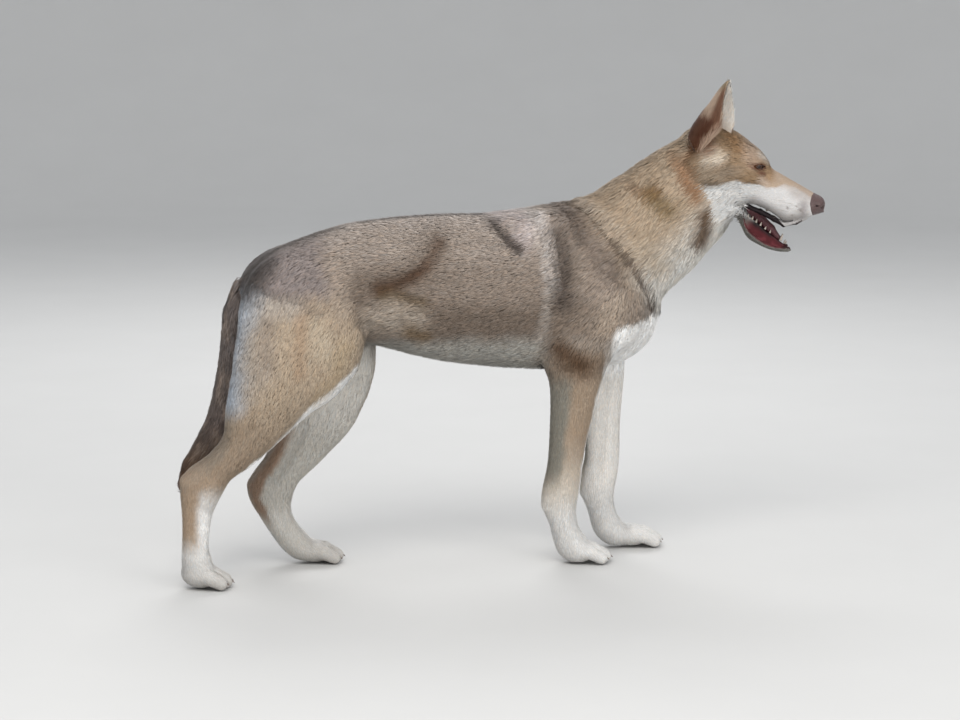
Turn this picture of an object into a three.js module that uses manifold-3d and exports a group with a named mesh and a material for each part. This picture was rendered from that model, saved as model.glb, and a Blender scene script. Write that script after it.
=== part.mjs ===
// A wolfdog standing at ease, life size, as one still model. Millimetres, +Z up.
// +X runs along the body to the head and +Y to the dog's left. All sizes reach out to the tips of the coat.
// The flesh is one implicit skin, meshed, thinned and parted into nodes by cuts GAP wide.
import * as THREE from "three";
import { mergeVertices } from "three/addons/utils/BufferGeometryUtils.js";
import Module from "manifold-3d";

const wasm = await Module();
wasm.setup();
const { Manifold, Mesh } = wasm;

// ---------- driving dimensions ----------
const WITHERS = 650; // height at the withers; the tables below are drawn for a dog of DRAWN
const DRAWN = 650;
const GAP = 0.3; // between neighbouring nodes
const FACES = { head: 2900, body: 4300, tail: 260, tongue: 140 }; // after thinning, before the cuts
const HEAD_YAW = THREE.MathUtils.degToRad(-21); // the head turns to the dog's right
const HEAD_ROLL = THREE.MathUtils.degToRad(-2.5); // and leans a little to its left
const MUZZLE_PITCH = THREE.MathUtils.degToRad(-30);
const STOP = [532, -45, 723]; // where forehead and muzzle meet, origin of the head's own axes
const EYE = { at: [-25, 27, -13], ball: 12.5, gaze: [0.42, 0.9, 0.05], slit: [16, 5.2] }; // slit: half sizes
const EAR = {
  wall: 5,
  look: 24, // degrees the cup is turned outwards
  rows: [
    // height in the head's axes, along and aside of the back, depth and half width of the cup, its curl
    [-50, -152, 34, 34, 14, 122],
    [-24, -160, 31, 50, 22, 112],
    [9, -160, 28, 60, 31, 100],
    [37, -156, 36, 44, 31, 90],
    [60, -154.5, 43, 28, 24, 84],
    [80, -152.5, 50, 13, 13, 78],
    [94, -149.5, 54, 3, 2.5, 70],
  ],
};
const NOSE = { at: [113, 0, -16], size: [17, 20, 17] };
const PAWS = {
  fore_right: { at: [164, -53], yaw: -4 },
  fore_left: { at: [300, 53], yaw: 4 },
  hind_right: { at: [-537, -74], yaw: -4 },
  hind_left: { at: [-305, 74], yaw: 4 },
};

// ---------- implicit forms: each is a function of x, y, z, negative inside ----------
const clamp = (v, low, high) => Math.min(high, Math.max(low, v));
const minus = (a, b) => [a[0] - b[0], a[1] - b[1], a[2] - b[2]];
const cross = (a, b) => [a[1] * b[2] - a[2] * b[1], a[2] * b[0] - a[0] * b[2], a[0] * b[1] - a[1] * b[0]];
const dot = (a, b) => a[0] * b[0] + a[1] * b[1] + a[2] * b[2];

function join(k, forms) {
  return (x, y, z) => {
    let d = 1e3;
    for (const form of forms) {
      const e = form(x, y, z);
      const h = Math.max(k - Math.abs(d - e), 0);
      d = Math.min(d, e) - (h * h) / (4 * k);
    }
    return d;
  };
}

// Far from a form its distance is read off the ball around it, which is quicker and never too large.
const FAR = 70;
function bounded(points, radii, form) {
  const centre = [0, 1, 2].map((c) => points.reduce((sum, p) => sum + p[c], 0) / points.length);
  const reach = Math.max(...points.map((p, i) => Math.hypot(...minus(p, centre)) + radii[i]));
  return (x, y, z) => {
    const far = Math.hypot(x - centre[0], y - centre[1], z - centre[2]) - reach;
    return far > FAR ? far : form(x, y, z);
  };
}

const carve = (k, form, tool) => {
  const cut = join(k, [(x, y, z) => -form(x, y, z), tool]);
  return (x, y, z) => -cut(x, y, z);
};

// A ball stretched along its own axes and pitched about Y.
function ball([cx, cy, cz], [rx, ry, rz], pitch = 0) {
  const c = Math.cos((pitch * Math.PI) / 180), s = Math.sin((pitch * Math.PI) / 180);
  const least = Math.min(rx, ry, rz);
  return bounded([[cx, cy, cz]], [Math.max(rx, ry, rz)], (x, y, z) => {
    const dx = x - cx, dz = z - cz;
    const u = (dx * c + dz * s) / rx, v = (y - cy) / ry, w = (dz * c - dx * s) / rz;
    return (Math.hypot(u, v, w) - 1) * least;
  });
}

// Smooth curves through the columns of a table, read at its first column.
function columns(rows) {
  const n = rows.length, width = rows[0].length;
  return (x) => {
    let i = 1;
    while (i < n - 1 && x > rows[i][0]) i++;
    const a = rows[i - 1], b = rows[i], p = rows[Math.max(i - 2, 0)], q = rows[Math.min(i + 1, n - 1)];
    const h = b[0] - a[0], t = clamp((x - a[0]) / h, 0, 1);
    const out = [];
    for (let c = 1; c < width; c++) {
      const ma = ((b[c] - p[c]) / (b[0] - p[0])) * h, mb = ((q[c] - a[c]) / (q[0] - a[0])) * h;
      const e = b[c] - a[c];
      out.push(a[c] + t * (ma + t * (3 * e - 2 * ma - mb + t * (ma + mb - 2 * e))));
    }
    return out;
  };
}

// A limb through rows of [x, y, z, radius in the XZ plane, radius across], smoothed between the rows.
function strand(k, rows, parts = 1) {
  const read = columns(rows.map((row, i) => [i, ...row]));
  const count = (rows.length - 1) * parts;
  const line = Array.from({ length: count + 1 }, (_, i) => read(i / parts));
  const spans = line.slice(1).map((b, i) => {
    const a = line[i], d = minus(b, a), long = dot(d, d);
    return (x, y, z) => {
      const px = x - a[0], py = y - a[1], pz = z - a[2];
      const t = clamp((px * d[0] + py * d[1] + pz * d[2]) / long, 0, 1);
      const r = a[3] + (b[3] - a[3]) * t, w = a[4] + (b[4] - a[4]) * t;
      return Math.hypot(px - t * d[0], ((py - t * d[1]) * r) / w, pz - t * d[2]) - r;
    };
  });
  return bounded(line, line.map((p) => Math.max(p[3], p[4])), join(k, spans));
}

// A body of egg-shaped sections across X, from rows of [x, top, bottom, half width, height of the widest].
function barrel(rows, power) {
  const read = columns(rows), first = rows[0][0], last = rows[rows.length - 1][0];
  return (x, y, z) => {
    const along = clamp(x, first, last);
    const [top, bottom, half, wide] = read(along);
    const tall = z > wide ? top - wide : wide - bottom;
    const u = Math.abs(y) / half, v = Math.abs(z - wide) / tall;
    const d = ((u ** power + v ** power) ** (1 / power) - 1) * Math.min(half, tall);
    return Math.hypot(Math.max(d, 0), x - along) + Math.min(d, 0);
  };
}

// ---------- trunk and neck ----------
const trunk = barrel(
  [
    // x, top, bottom, half width, widest
    [-458, 532, 498, 10, 514],
    [-438, 556, 480, 42, 518],
    [-395, 588, 458, 72, 526],
    [-340, 610, 446, 83, 530],
    [-265, 633, 424, 80, 535],
    [-190, 643, 404, 84, 530],
    [-100, 648, 379, 95, 520],
    [0, 648, 363, 102, 515],
    [95, 655, 354, 102, 505],
    [190, 640, 350, 94, 490],
    [262, 590, 364, 78, 470],
    [300, 532, 390, 60, 455],
    [318, 492, 416, 32, 452],
    [328, 462, 440, 8, 450],
  ],
  2.2,
);
const neck = strand(30, [
  [150, 0, 560, 88, 72],
  [234, 0, 556, 118, 80],
  [314, -1, 612, 108, 75],
  [384, -5, 666, 94, 68],
  [432, -10, 702, 83, 63],
]);

// ---------- shoulders, haunches and legs ----------
// `side` is -1 for the dog's right legs and 1 for its left ones.
function foreleg(side) {
  const right = side < 0;
  const y = side * 53;
  const lead = right ? 0 : 106; // the left foreleg stands a step ahead
  const shoulder = strand(30, [
    [112, side * 46, 588, 56, 32],
    [right ? 214 : 240, side * 64, 468, 60, 36],
    [right ? 152 : 222, side * 64, 398, 52, 34],
  ]);
  const lower = strand(12, [
    [156 + lead * 0.72, side * 62, 380, 54, 34],
    [151 + lead * 0.82, side * 58, 318, 44, 30],
    [143 + lead * 0.9, y, 247, 36, 27],
    [135 + lead, y, 180, 32, 25],
    [129 + lead, y, 142, 32.5, 27],
    [125 + lead, y, 116, 31, 26],
    [132 + lead, y, 82, 24, 24],
    [143 + lead, y, 46, 25, 27],
    [160 + lead, y, 27, 24, 30],
  ], 3);
  return [shoulder, lower];
}

function hindleg(side) {
  const right = side < 0;
  const y = side * 74;
  const thigh = right
    ? [
        [-370, side * 46, 500, 84, 40],
        [-354, side * 58, 430, 118, 44],
        [-386, side * 66, 366, 96, 42],
        [-424, side * 72, 310, 70, 36],
      ]
    : [
        [-365, side * 46, 500, 84, 40],
        [-318, side * 58, 430, 112, 44],
        [-292, side * 66, 362, 90, 42],
        [-298, side * 72, 288, 66, 35],
      ];
  const shank = right
    ? [
        [-424, side * 72, 310, 70, 36],
        [-462, y, 252, 45, 30],
        [-508, y, 214, 34, 26],
        [-536, y, 186, 34, 24],
      ]
    : [
        [-298, side * 72, 288, 66, 35],
        [-328, y, 226, 48, 30],
        [-366, y, 178, 36, 26],
        [-390, y, 144, 35, 24],
      ];
  const cannon = right
    ? [
        [-540, y, 182, 34, 24],
        [-547, y, 124, 24, 22],
        [-550, y, 66, 22, 22],
        [-544, y, 34, 26, 28],
      ]
    : [
        [-390, y, 142, 35, 24],
        [-380, y, 102, 27, 22],
        [-360, y, 62, 23, 22],
        [-334, y, 32, 25, 28],
      ];
  return [strand(30, thigh, 2), strand(14, shank, 3), strand(12, cannon, 3)];
}

// A paw: heel pad, four arched toes and, in front, a bare pad under each.
const TOES = [-1.5, -0.5, 0.5, 1.5];
function toe(rank, hind) {
  const middle = Math.abs(rank) < 1;
  const reach = (middle ? 46 : 35) - (hind ? 7 : 0);
  const out = rank * (middle ? 17 : 18.5);
  return { out, reach, knuckle: [reach - 20, out * 0.96, 24], tip: [reach, out, 13] };
}

const placed = (at, yaw, form) => {
  const turn = THREE.MathUtils.degToRad(yaw), c = Math.cos(turn), s = Math.sin(turn);
  return (x, y, z) => form((x - at[0]) * c + (y - at[1]) * s, (y - at[1]) * c - (x - at[0]) * s, z);
};

function paw(name) {
  const hind = name.startsWith("hind");
  const forms = [ball([-6, 0, 22], [34, 29, 21], -12)];
  for (const rank of TOES) {
    const { knuckle, tip } = toe(rank, hind);
    forms.push(strand(4, [
      [-2, rank * 12, 26, 17, 15],
      [...knuckle, 13.5, 11.5],
      [...tip, 12.5, 10.5],
    ]));
  }
  return placed(PAWS[name].at, PAWS[name].yaw, join(3.5, forms));
}

// ---------- head, in its own axes: along the muzzle, to the left, up ----------
const headMatrix = new THREE.Matrix4()
  .makeTranslation(...STOP)
  .multiply(new THREE.Matrix4().makeRotationZ(HEAD_YAW))
  .multiply(new THREE.Matrix4().makeRotationY(-MUZZLE_PITCH))
  .multiply(new THREE.Matrix4().makeRotationX(HEAD_ROLL));
const headInverse = headMatrix.clone().invert().elements;
const inHead = (form) => (x, y, z) => {
  const m = headInverse;
  return form(
    m[0] * x + m[4] * y + m[8] * z + m[12],
    Math.abs(m[1] * x + m[5] * y + m[9] * z + m[13]),
    m[2] * x + m[6] * y + m[10] * z + m[14],
  );
};

// A slit between two arcs, cut into the lids along the line of sight.
const eyeAxes = (() => {
  const g = new THREE.Vector3(...EYE.gaze).normalize();
  const along = new THREE.Vector3(0.8, -0.45, 0.36).projectOnPlane(g).normalize(); // to the inner corner
  return { gaze: g.toArray(), along: along.toArray(), up: g.clone().cross(along).negate().toArray() };
})();
function eyeSlit(a, s, h) {
  const p = [a - EYE.at[0], s - EYE.at[1], h - EYE.at[2]];
  const [half, tall] = EYE.slit, radius = (half * half + tall * tall) / (2 * tall);
  const u = dot(p, eyeAxes.along), v = Math.abs(dot(p, eyeAxes.up)) + radius - tall;
  return Math.max(Math.hypot(u, v) - radius, 4 - dot(p, eyeAxes.gaze));
}

const cranium = join(14, [
  ball([-86, 0, -32], [78, 50, 54]), // braincase
  ball([-36, 15, -13], [34, 22, 29], -10), // forehead, either side of its furrow
  ball([-54, 36, -44], [42, 22, 24], 8), // cheek bone
  ball([-92, 38, -82], [46, 30, 44]), // chewing muscle and cheek fur
  ball([-126, 41, -28], [33, 23, 30], 20), // root of the ear
  ball([-76, 0, -108], [58, 44, 36], 12), // throat
]);
const muzzle = barrel(
  [
    // along, top, bottom, half width, widest
    [-34, -2, -96, 44, -58],
    [0, -2, -90, 36, -58],
    [26, -4, -80, 31, -56],
    [52, -4, -80, 28, -54],
    [70, -4, -82, 27, -50],
    [88, -4, -70, 24, -42],
    [102, -4, -56, 20, -34],
    [112, -6, -40, 15, -24],
  ],
  2.1,
);
const mandible = barrel(
  [
    [-44, -86, -128, 40, -106],
    [0, -91, -134, 32, -110],
    [35, -98, -137, 25, -114],
    [70, -104, -135, 19, -117],
    [94, -107, -128, 14, -117],
    [107, -110, -121, 9, -116],
  ],
  2.3,
);
const snout = join(5, [
  muzzle,
  strand(6, [[20, 0, -22, 17, 17], [100, 0, -19, 15, 14]]), // bridge
  ball([108, 0, -17], [14.5, 16, 14]), // nose leather
]);
const upperLip = strand(4, [
  [-6, 40, -86, 5, 5], [26, 30, -82, 5, 4.5], [54, 26.5, -81, 4.5, 4], [74, 24, -81, 4, 4],
  [92, 18, -66, 3.5, 3.5], [104, 9, -50, 3, 3],
]);
const lowerLip = strand(4, [
  [-6, 39, -96, 5, 4.5], [24, 28.5, -112, 5, 4.5], [54, 23, -122, 4.5, 4], [80, 17.5, -125, 4, 4],
  [97, 11, -120, 3.5, 3.5], [105, 4, -117, 3.5, 3.5],
]);
const lids = ball(EYE.at, [14.2, 14.2, 14.2]);
const nostril = join(2, [
  ball([119, 7.5, -17], [7, 3.4, 3.6]),
  strand(2, [[116, 9, -18, 2.6, 2.6], [108, 15, -21, 1.6, 3]]),
]);
const palate = strand(4, [[4, 0, -84, 12, 22], [40, 0, -80, 14, 17], [84, 0, -66, 10, 12]]);
const trough = strand(4, [[6, 0, -88, 12, 20], [50, 0, -100, 12, 13], [90, 0, -106, 7, 9]]);

const upper = carve(3, join(3, [join(9, [join(12, [cranium, snout]), lids]), upperLip]), palate);
const lower = carve(3, join(3, [mandible, lowerLip]), trough);
const head = inHead(carve(1.5, carve(2, join(3, [upper, lower]), eyeSlit), nostril));

const body = join(26, [
  join(40, [trunk, neck]),
  ...[-1, 1].flatMap((side) => [...foreleg(side), ...hindleg(side)]),
]);
const dog = join(24, [join(10, [body, ...Object.keys(PAWS).map(paw)]), head]);

// The tail's brush, thickest below the middle. Its core reaches half way out, and locks make up the rest.
const BRUSH = [
  [-396, 0, 556, 30, 30],
  [-436, 0, 526, 30, 30],
  [-456, 0, 476, 29, 29],
  [-461, 0, 410, 30, 31],
  [-470, 0, 340, 33, 34],
  [-484, 0, 284, 33, 34],
  [-510, 0, 238, 30, 30],
  [-538, 0, 202, 24, 25],
  [-554, 0, 172, 15, 17],
];
const CORE_SHARE = (row) => (row < 2 ? 0.9 : 0.62);
const core = strand(20, BRUSH.map(([x, y, z, r, w], i) => [x, y, z, r * CORE_SHARE(i), w * CORE_SHARE(i)]));
const tongue = inHead(
  strand(4, [[-4, 0, -92, 10, 16], [30, 0, -93, 10, 14], [58, 0, -100, 9, 11], [78, 0, -107, 6, 8]]),
);

// ---------- meshing: marching tetrahedra on a grid of uneven steps ----------
function steps(...spans) {
  // spans of [from, to, step]
  return spans.flatMap(([from, to, step], i) => {
    const n = Math.round((to - from) / step);
    const line = Array.from({ length: n + 1 }, (_, j) => from + ((to - from) * j) / n);
    return i ? line.slice(1) : line;
  });
}

const AXIS_ORDERS = [[1, 2, 4], [2, 4, 1], [4, 1, 2], [2, 1, 4], [1, 4, 2], [4, 2, 1]];
const BLOCK = 4; // cells a side that are skipped together where the surface is far
const STEEP = 3; // the forms' distances grow no faster than this

function march(form, X, Y, Z) {
  const nx = X.length, ny = Y.length, nz = Z.length;
  const value = new Float64Array(nx * ny * nz);
  const sample = (i, j, k) => {
    const n = i + nx * (j + ny * k);
    if (value[n] === 0) value[n] = form(X[i], Y[j], Z[k]) || 1e-9;
    return value[n];
  };
  const points = [], faces = [], made = new Map();
  const offsets = [0, 1, 2, 3, 4, 5, 6, 7].map((b) => (b & 1) + (b & 2 ? nx : 0) + (b & 4 ? nx * ny : 0));
  const place = (n) => [X[n % nx], Y[Math.floor(n / nx) % ny], Z[Math.floor(n / (nx * ny))]];
  const vertex = (base, p, q) => {
    const key = (base + offsets[p & q]) * 8 + (p ^ q);
    let id = made.get(key);
    if (id === undefined) {
      const a = base + offsets[p], b = base + offsets[q];
      const t = clamp(value[a] / (value[a] - value[b]), 0.04, 0.96), A = place(a), B = place(b);
      id = points.push(A.map((v, c) => v + (B[c] - v) * t)) - 1;
      made.set(key, id);
    }
    return id;
  };
  const cell = (i, j, k) => {
    const base = i + nx * (j + ny * k), isIn = [];
    let inside = 0;
    for (let b = 0; b < 8; b++) {
      isIn.push(sample(i + (b & 1), j + ((b >> 1) & 1), k + (b >> 2)) < 0);
      inside += isIn[b];
    }
    if (inside === 0 || inside === 8) return;
    AXIS_ORDERS.forEach((order, which) => {
      const corners = [0, order[0], order[0] | order[1], 7];
      const ins = corners.filter((c) => isIn[c]), outs = corners.filter((c) => !isIn[c]);
      if (!ins.length || !outs.length) return;
      const sorted = [...ins, ...outs].map((c) => corners.indexOf(c));
      let swaps = which < 3 ? 0 : 1;
      for (let m = 0; m < 4; m++) for (let n = m + 1; n < 4; n++) swaps += sorted[m] > sorted[n];
      const ring = ins.length === 2
        ? [[ins[0], outs[0]], [ins[0], outs[1]], [ins[1], outs[1]], [ins[1], outs[0]]]
        : ins.flatMap((p) => outs.map((q) => [p, q]));
      const ids = ring.map(([p, q]) => vertex(base, p, q));
      if (swaps % 2) ids.reverse();
      for (let n = 2; n < ids.length; n++) faces.push([ids[0], ids[n - 1], ids[n]]);
    });
  };
  for (let k = 0; k < nz - 1; k += BLOCK)
    for (let j = 0; j < ny - 1; j += BLOCK)
      for (let i = 0; i < nx - 1; i += BLOCK) {
        const [I, J, K] = [[i, nx], [j, ny], [k, nz]].map(([at, n]) => Math.min(at + BLOCK, n - 1));
        const half = Math.hypot(X[I] - X[i], Y[J] - Y[j], Z[K] - Z[k]) / 2;
        const middle = form((X[i] + X[I]) / 2, (Y[j] + Y[J]) / 2, (Z[k] + Z[K]) / 2);
        if (Math.abs(middle) > half * STEEP) continue;
        for (let c = k; c < K; c++) for (let b = j; b < J; b++) for (let a = i; a < I; a++) cell(a, b, c);
      }
  return { points, faces };
}

// ---------- thinning: quadric edge collapse to `target` faces, more of them where `care` is high ----------
class Heap {
  items = [];
  push(item) {
    const a = this.items;
    let i = a.push(item) - 1;
    for (let up = (i - 1) >> 1; i > 0 && a[up].cost > item.cost; up = (i - 1) >> 1) {
      a[i] = a[up];
      i = up;
    }
    a[i] = item;
  }
  pop() {
    const a = this.items, top = a[0], last = a.pop();
    if (!a.length) return top;
    let i = 0;
    for (let kid = 1; kid < a.length; kid = 2 * i + 1) {
      if (kid + 1 < a.length && a[kid + 1].cost < a[kid].cost) kid++;
      if (a[kid].cost >= last.cost) break;
      a[i] = a[kid];
      i = kid;
    }
    a[i] = last;
    return top;
  }
}

// The sum of squared distances to planes, as a symmetric 4 x 4 kept in ten numbers.
function planeQuadric(a, b, c) {
  const n = cross(minus(b, a), minus(c, a)), area = Math.hypot(...n) || 1e-12;
  const x = n[0] / area, y = n[1] / area, z = n[2] / area, w = -(x * a[0] + y * a[1] + z * a[2]);
  return [x * x, x * y, x * z, x * w, y * y, y * z, y * w, z * z, z * w, w * w].map((e) => e * area);
}
const error = (q, [x, y, z]) =>
  q[0] * x * x + q[4] * y * y + q[7] * z * z + q[9] +
  2 * (q[1] * x * y + q[2] * x * z + q[3] * x + q[5] * y * z + q[6] * y + q[8] * z);

// How near a triangle is to a sliver: 0 for one, 0.87 for an equal-sided one.
const slender = (a, b, c) => {
  const sides = [minus(b, a), minus(c, b), minus(a, c)];
  return Math.hypot(...cross(sides[0], sides[2])) / Math.max(...sides.map((s) => dot(s, s)), 1e-12);
};

// The point where the quadric is least, unless that lies far from the middle of the edge.
function leastAt(q, middle, reach) {
  const r = [[q[0], q[1], q[2]], [q[1], q[4], q[5]], [q[2], q[5], q[7]]], g = [-q[3], -q[6], -q[8]];
  const yz = cross(r[1], r[2]), det = dot(r[0], yz);
  if (Math.abs(det) < 1e-6 * (q[0] + q[4] + q[7]) ** 3) return middle;
  const zx = cross(r[2], r[0]), xy = cross(r[0], r[1]);
  const at = [0, 1, 2].map((c) => (yz[c] * g[0] + zx[c] * g[1] + xy[c] * g[2]) / det);
  return Math.hypot(...minus(at, middle)) < reach ? at : middle;
}

function thin({ points, faces }, target, care = () => 1) {
  const around = points.map(() => new Set());
  const quadric = points.map(() => new Float64Array(10));
  const stamp = new Int32Array(points.length);
  faces.forEach((f, i) => {
    const add = planeQuadric(points[f[0]], points[f[1]], points[f[2]]);
    for (const v of f) {
      around[v].add(i);
      for (let j = 0; j < 10; j++) quadric[v][j] += add[j];
    }
  });
  const heap = new Heap(), q = new Float64Array(10);
  const offer = (u, v) => {
    for (let j = 0; j < 10; j++) q[j] = quadric[u][j] + quadric[v][j];
    const a = points[u], b = points[v], span = Math.hypot(a[0] - b[0], a[1] - b[1], a[2] - b[2]);
    const at = leastAt(q, [(a[0] + b[0]) / 2, (a[1] + b[1]) / 2, (a[2] + b[2]) / 2], 1.5 * span);
    const cost = (Math.max(error(q, at), 0) + 1e-4 * span * span) * care(...at) ** 2;
    heap.push({ cost, u, v, at, su: stamp[u], sv: stamp[v] });
  };
  const neighbours = (v) => {
    const ring = new Set();
    for (const i of around[v]) for (const w of faces[i]) if (w !== v) ring.add(w);
    return ring;
  };
  // Whether moving v0 to `at` turns a face over or makes it a sliver.
  const spoils = (v0, other, at) => {
    for (const i of around[v0]) {
      const f = faces[i];
      if (f[0] === other || f[1] === other || f[2] === other) continue;
      const [a, b, c] = f.map((w) => points[w]), [d, e, g] = f.map((w) => (w === v0 ? at : points[w]));
      const was = cross(minus(b, a), minus(c, a)), now = cross(minus(e, d), minus(g, d));
      const turned = dot(was, now) < 0.2 * Math.hypot(...was) * Math.hypot(...now);
      if (turned || (slender(d, e, g) < 0.03 && slender(d, e, g) < slender(a, b, c))) return true;
    }
    return false;
  };
  const offerAll = () => {
    for (let v = 0; v < points.length; v++) for (const w of neighbours(v)) if (v < w) offer(v, w);
  };
  let count = faces.length, before = Infinity;
  while (count > target) {
    if (!heap.items.length) {
      if (count === before) break;
      before = count;
      offerAll();
    }
    const { u, v, at, su, sv } = heap.pop();
    if (stamp[u] !== su || stamp[v] !== sv) continue;
    const ring = neighbours(v);
    let shared = 0;
    for (const w of neighbours(u)) shared += ring.has(w);
    if (shared !== 2 || spoils(u, v, at) || spoils(v, u, at)) continue;
    points[u] = at;
    for (let j = 0; j < 10; j++) quadric[u][j] += quadric[v][j];
    for (const i of [...around[v]]) {
      if (faces[i].includes(u)) {
        for (const w of faces[i]) around[w].delete(i);
        faces[i] = null;
        count--;
      } else {
        faces[i] = faces[i].map((w) => (w === v ? u : w));
        around[u].add(i);
      }
    }
    around[v].clear();
    stamp[v] = -1;
    stamp[u]++;
    for (const w of neighbours(u)) offer(u, w);
  }
  return { points, faces: faces.filter(Boolean) };
}

// ---------- solids ----------
function solid({ points, faces }) {
  const used = new Map(), list = [];
  const tri = faces.flatMap((f) => f.map((v) => {
    if (!used.has(v)) used.set(v, list.push(...points[v]) / 3 - 1);
    return used.get(v);
  }));
  return new Manifold(new Mesh({
    numProp: 3, vertProperties: Float32Array.from(list), triVerts: Uint32Array.from(tri),
  }));
}
const largest = (made) => made.decompose().reduce((a, b) => (a.volume() > b.volume() ? a : b));
function fromThree(geometry, matrix = new THREE.Matrix4()) {
  geometry.deleteAttribute("normal");
  geometry.deleteAttribute("uv");
  const { index, attributes } = mergeVertices(geometry.applyMatrix4(matrix), 1e-4);
  const at = (v) => [attributes.position.getX(v), attributes.position.getY(v), attributes.position.getZ(v)];
  const corners = (_, i) => [0, 1, 2].map((c) => index.getX(3 * i + c));
  return solid({
    points: Array.from({ length: attributes.position.count }, (_, v) => at(v)),
    faces: Array.from({ length: index.count / 3 }, corners).filter((f) => new Set(f).size === 3),
  });
}

// The space where normal . p >= offset for every plane, grown outwards by `grow`.
const SPACE = 4000;
function region(planes, grow = 0) {
  let space = fromThree(new THREE.BoxGeometry(SPACE, SPACE, SPACE));
  for (const [normal, offset] of planes) {
    const length = Math.hypot(...normal);
    space = space.trimByPlane(normal.map((c) => c / length), offset / length - grow);
  }
  return space;
}
const through = (normal, point) => [normal, dot(normal, point)];
const split = (whole, planes) => [
  whole.intersect(region(planes)),
  whole.subtract(region(planes, GAP)),
];
// A piece that rests against `base`: what is left once the base, moved a GAP each of these ways, is cut away.
const seat = (piece, base, ...ways) =>
  largest(ways.reduce((left, way) => {
    const step = (GAP * 1.3) / Math.hypot(...way);
    return left.subtract(base.translate(way.map((c) => c * step)));
  }, piece.subtract(base)));

// ---------- the long coat: flat, tapered locks that bend and overlap along its lie ----------
const unit = (v) => v.map((c) => c / (Math.hypot(...v) || 1));
const along = (p, v, far) => p.map((c, i) => c + v[i] * far);

// The nearest point of a form's skin and the way out of it there.
function onSkin(form, near) {
  let p = near, out = [0, 0, 1];
  for (let i = 0; i < 5; i++) {
    const slope = (axis) => form(...along(p, axis, 0.5)) - form(...along(p, axis, -0.5));
    out = [slope([1, 0, 0]), slope([0, 1, 0]), slope([0, 0, 1])];
    p = along(p, out, -form(...p) / Math.max(dot(out, out), 0.04));
  }
  return [p, unit(out)];
}

// Stations along a lock: how far on, how far off the skin, how wide and how thick.
const STATIONS = [[0, -1, 0.75, 1.1], [0.34, 0.75, 1, 1], [0.7, 1, 0.62, 0.7], [1, 0.55, 0, 0]];
function lock(form, start, lie, { long, half, thick, lift, sunk }) {
  let [foot, out] = onSkin(form, start);
  let gone = 0;
  const points = [];
  for (const [share, off, wide, deep] of STATIONS) {
    const flow = unit(along(lie, out, -dot(lie, out)));
    [foot, out] = onSkin(form, along(foot, flow, (share - gone) * long));
    gone = share;
    const middle = along(foot, out, off < 0 ? -sunk : off * lift), aside = unit(cross(out, flow));
    if (wide) {
      for (const [way, far] of [[aside, wide * half], [out, deep * thick]])
        points.push(along(middle, way, far), along(middle, way, -far));
    } else points.push(middle);
  }
  const ROUND = [0, 2, 1, 3]; // edge, face, edge, back
  const faces = [[0, 1, 2], [0, 3, 1]];
  ROUND.forEach((a, i) => {
    const b = ROUND[(i + 1) % 4];
    faces.push([a, b, b + 4], [a, b + 4, a + 4], [a + 4, b + 4, b + 8], [a + 4, b + 8, a + 8]);
    faces.push([a + 8, b + 8, 12]);
  });
  return solid({ points, faces });
}

let seed = 7;
const random = (low, high) => {
  seed = (seed * 16807) % 2147483647;
  return low + ((high - low) * seed) / 2147483647;
};

// Tiers of locks all round a line: each starts `reach` out from its point, half a step on from the last tier.
function tiers(form, centres, count, reach, lie, size) {
  return centres.flatMap((centre, tier) => {
    const next = centres[Math.min(tier + 1, centres.length - 1)], last = centres[Math.max(tier - 1, 0)];
    const line = unit(minus(next, last)), front = unit(cross([0, 1, 0], line));
    return Array.from({ length: count }, (_, i) => {
      const share = (i + (tier % 2) / 2 + random(0.35, 0.65)) / count;
      const turn = 2 * Math.PI * share;
      const from = along(along(centre, front, Math.cos(turn) * reach), [0, 1, 0], Math.sin(turn) * reach);
      const grown = size(tier).long * random(0.88, 1.12);
      return lock(form, from, lie(line), { ...size(tier), long: grown });
    });
  });
}

// ---------- pieces that are laid on the skin or set in it ----------
// Ear: a cupped wall, widest low down, rolled into a funnel at the root and flat at the tip.
function ear(side) {
  const look = THREE.MathUtils.degToRad(EAR.look);
  const out = [Math.cos(look), Math.sin(look)], across = [-Math.sin(look), Math.cos(look)];
  const read = columns(EAR.rows), low = EAR.rows[0][0], high = EAR.rows[EAR.rows.length - 1][0];
  const ROWS = 10, ARC = 8;
  const points = [], faces = [];
  const ring = (t) => {
    const h = THREE.MathUtils.lerp(low, high, t);
    const [along, aside, deep, half, degrees] = read(h);
    const curl = THREE.MathUtils.degToRad(degrees), wall = EAR.wall * (1 - 0.6 * t);
    return [0, 1].map((inner) =>
      Array.from({ length: ARC + 1 }, (_, i) => {
        const angle = THREE.MathUtils.lerp(-curl, curl, (inner ? ARC - i : i) / ARC) * (inner ? 0.96 : 1);
        const u = (deep * (1 - Math.cos(angle))) / (1 - Math.cos(curl)) + inner * wall * Math.cos(angle);
        const v = Math.sin(angle) * (half - inner * wall);
        return [along + u * out[0] + v * across[0], (aside + u * out[1] + v * across[1]) * side, h];
      }));
  };
  for (let row = 0; row <= ROWS; row++) {
    const [outer, inner] = ring(row / ROWS);
    points.push(...outer, ...inner);
  }
  const n = 2 * (ARC + 1);
  for (let row = 0; row < ROWS; row++)
    for (let i = 0; i < n; i++) {
      const a = row * n + i, b = row * n + ((i + 1) % n);
      faces.push([a, b, b + n], [a, b + n, a + n]);
    }
  for (let i = 0; i < ARC; i++) {
    const [a, b, c, d] = [i, i + 1, n - 2 - i, n - 1 - i], top = ROWS * n;
    faces.push([a, c, b], [a, d, c]);
    faces.push([top + a, top + b, top + c], [top + a, top + c, top + d]);
  }
  const made = solid({ points, faces: side > 0 ? faces.map(([a, b, c]) => [a, c, b]) : faces });
  return made.transform(headMatrix.elements);
}

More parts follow.
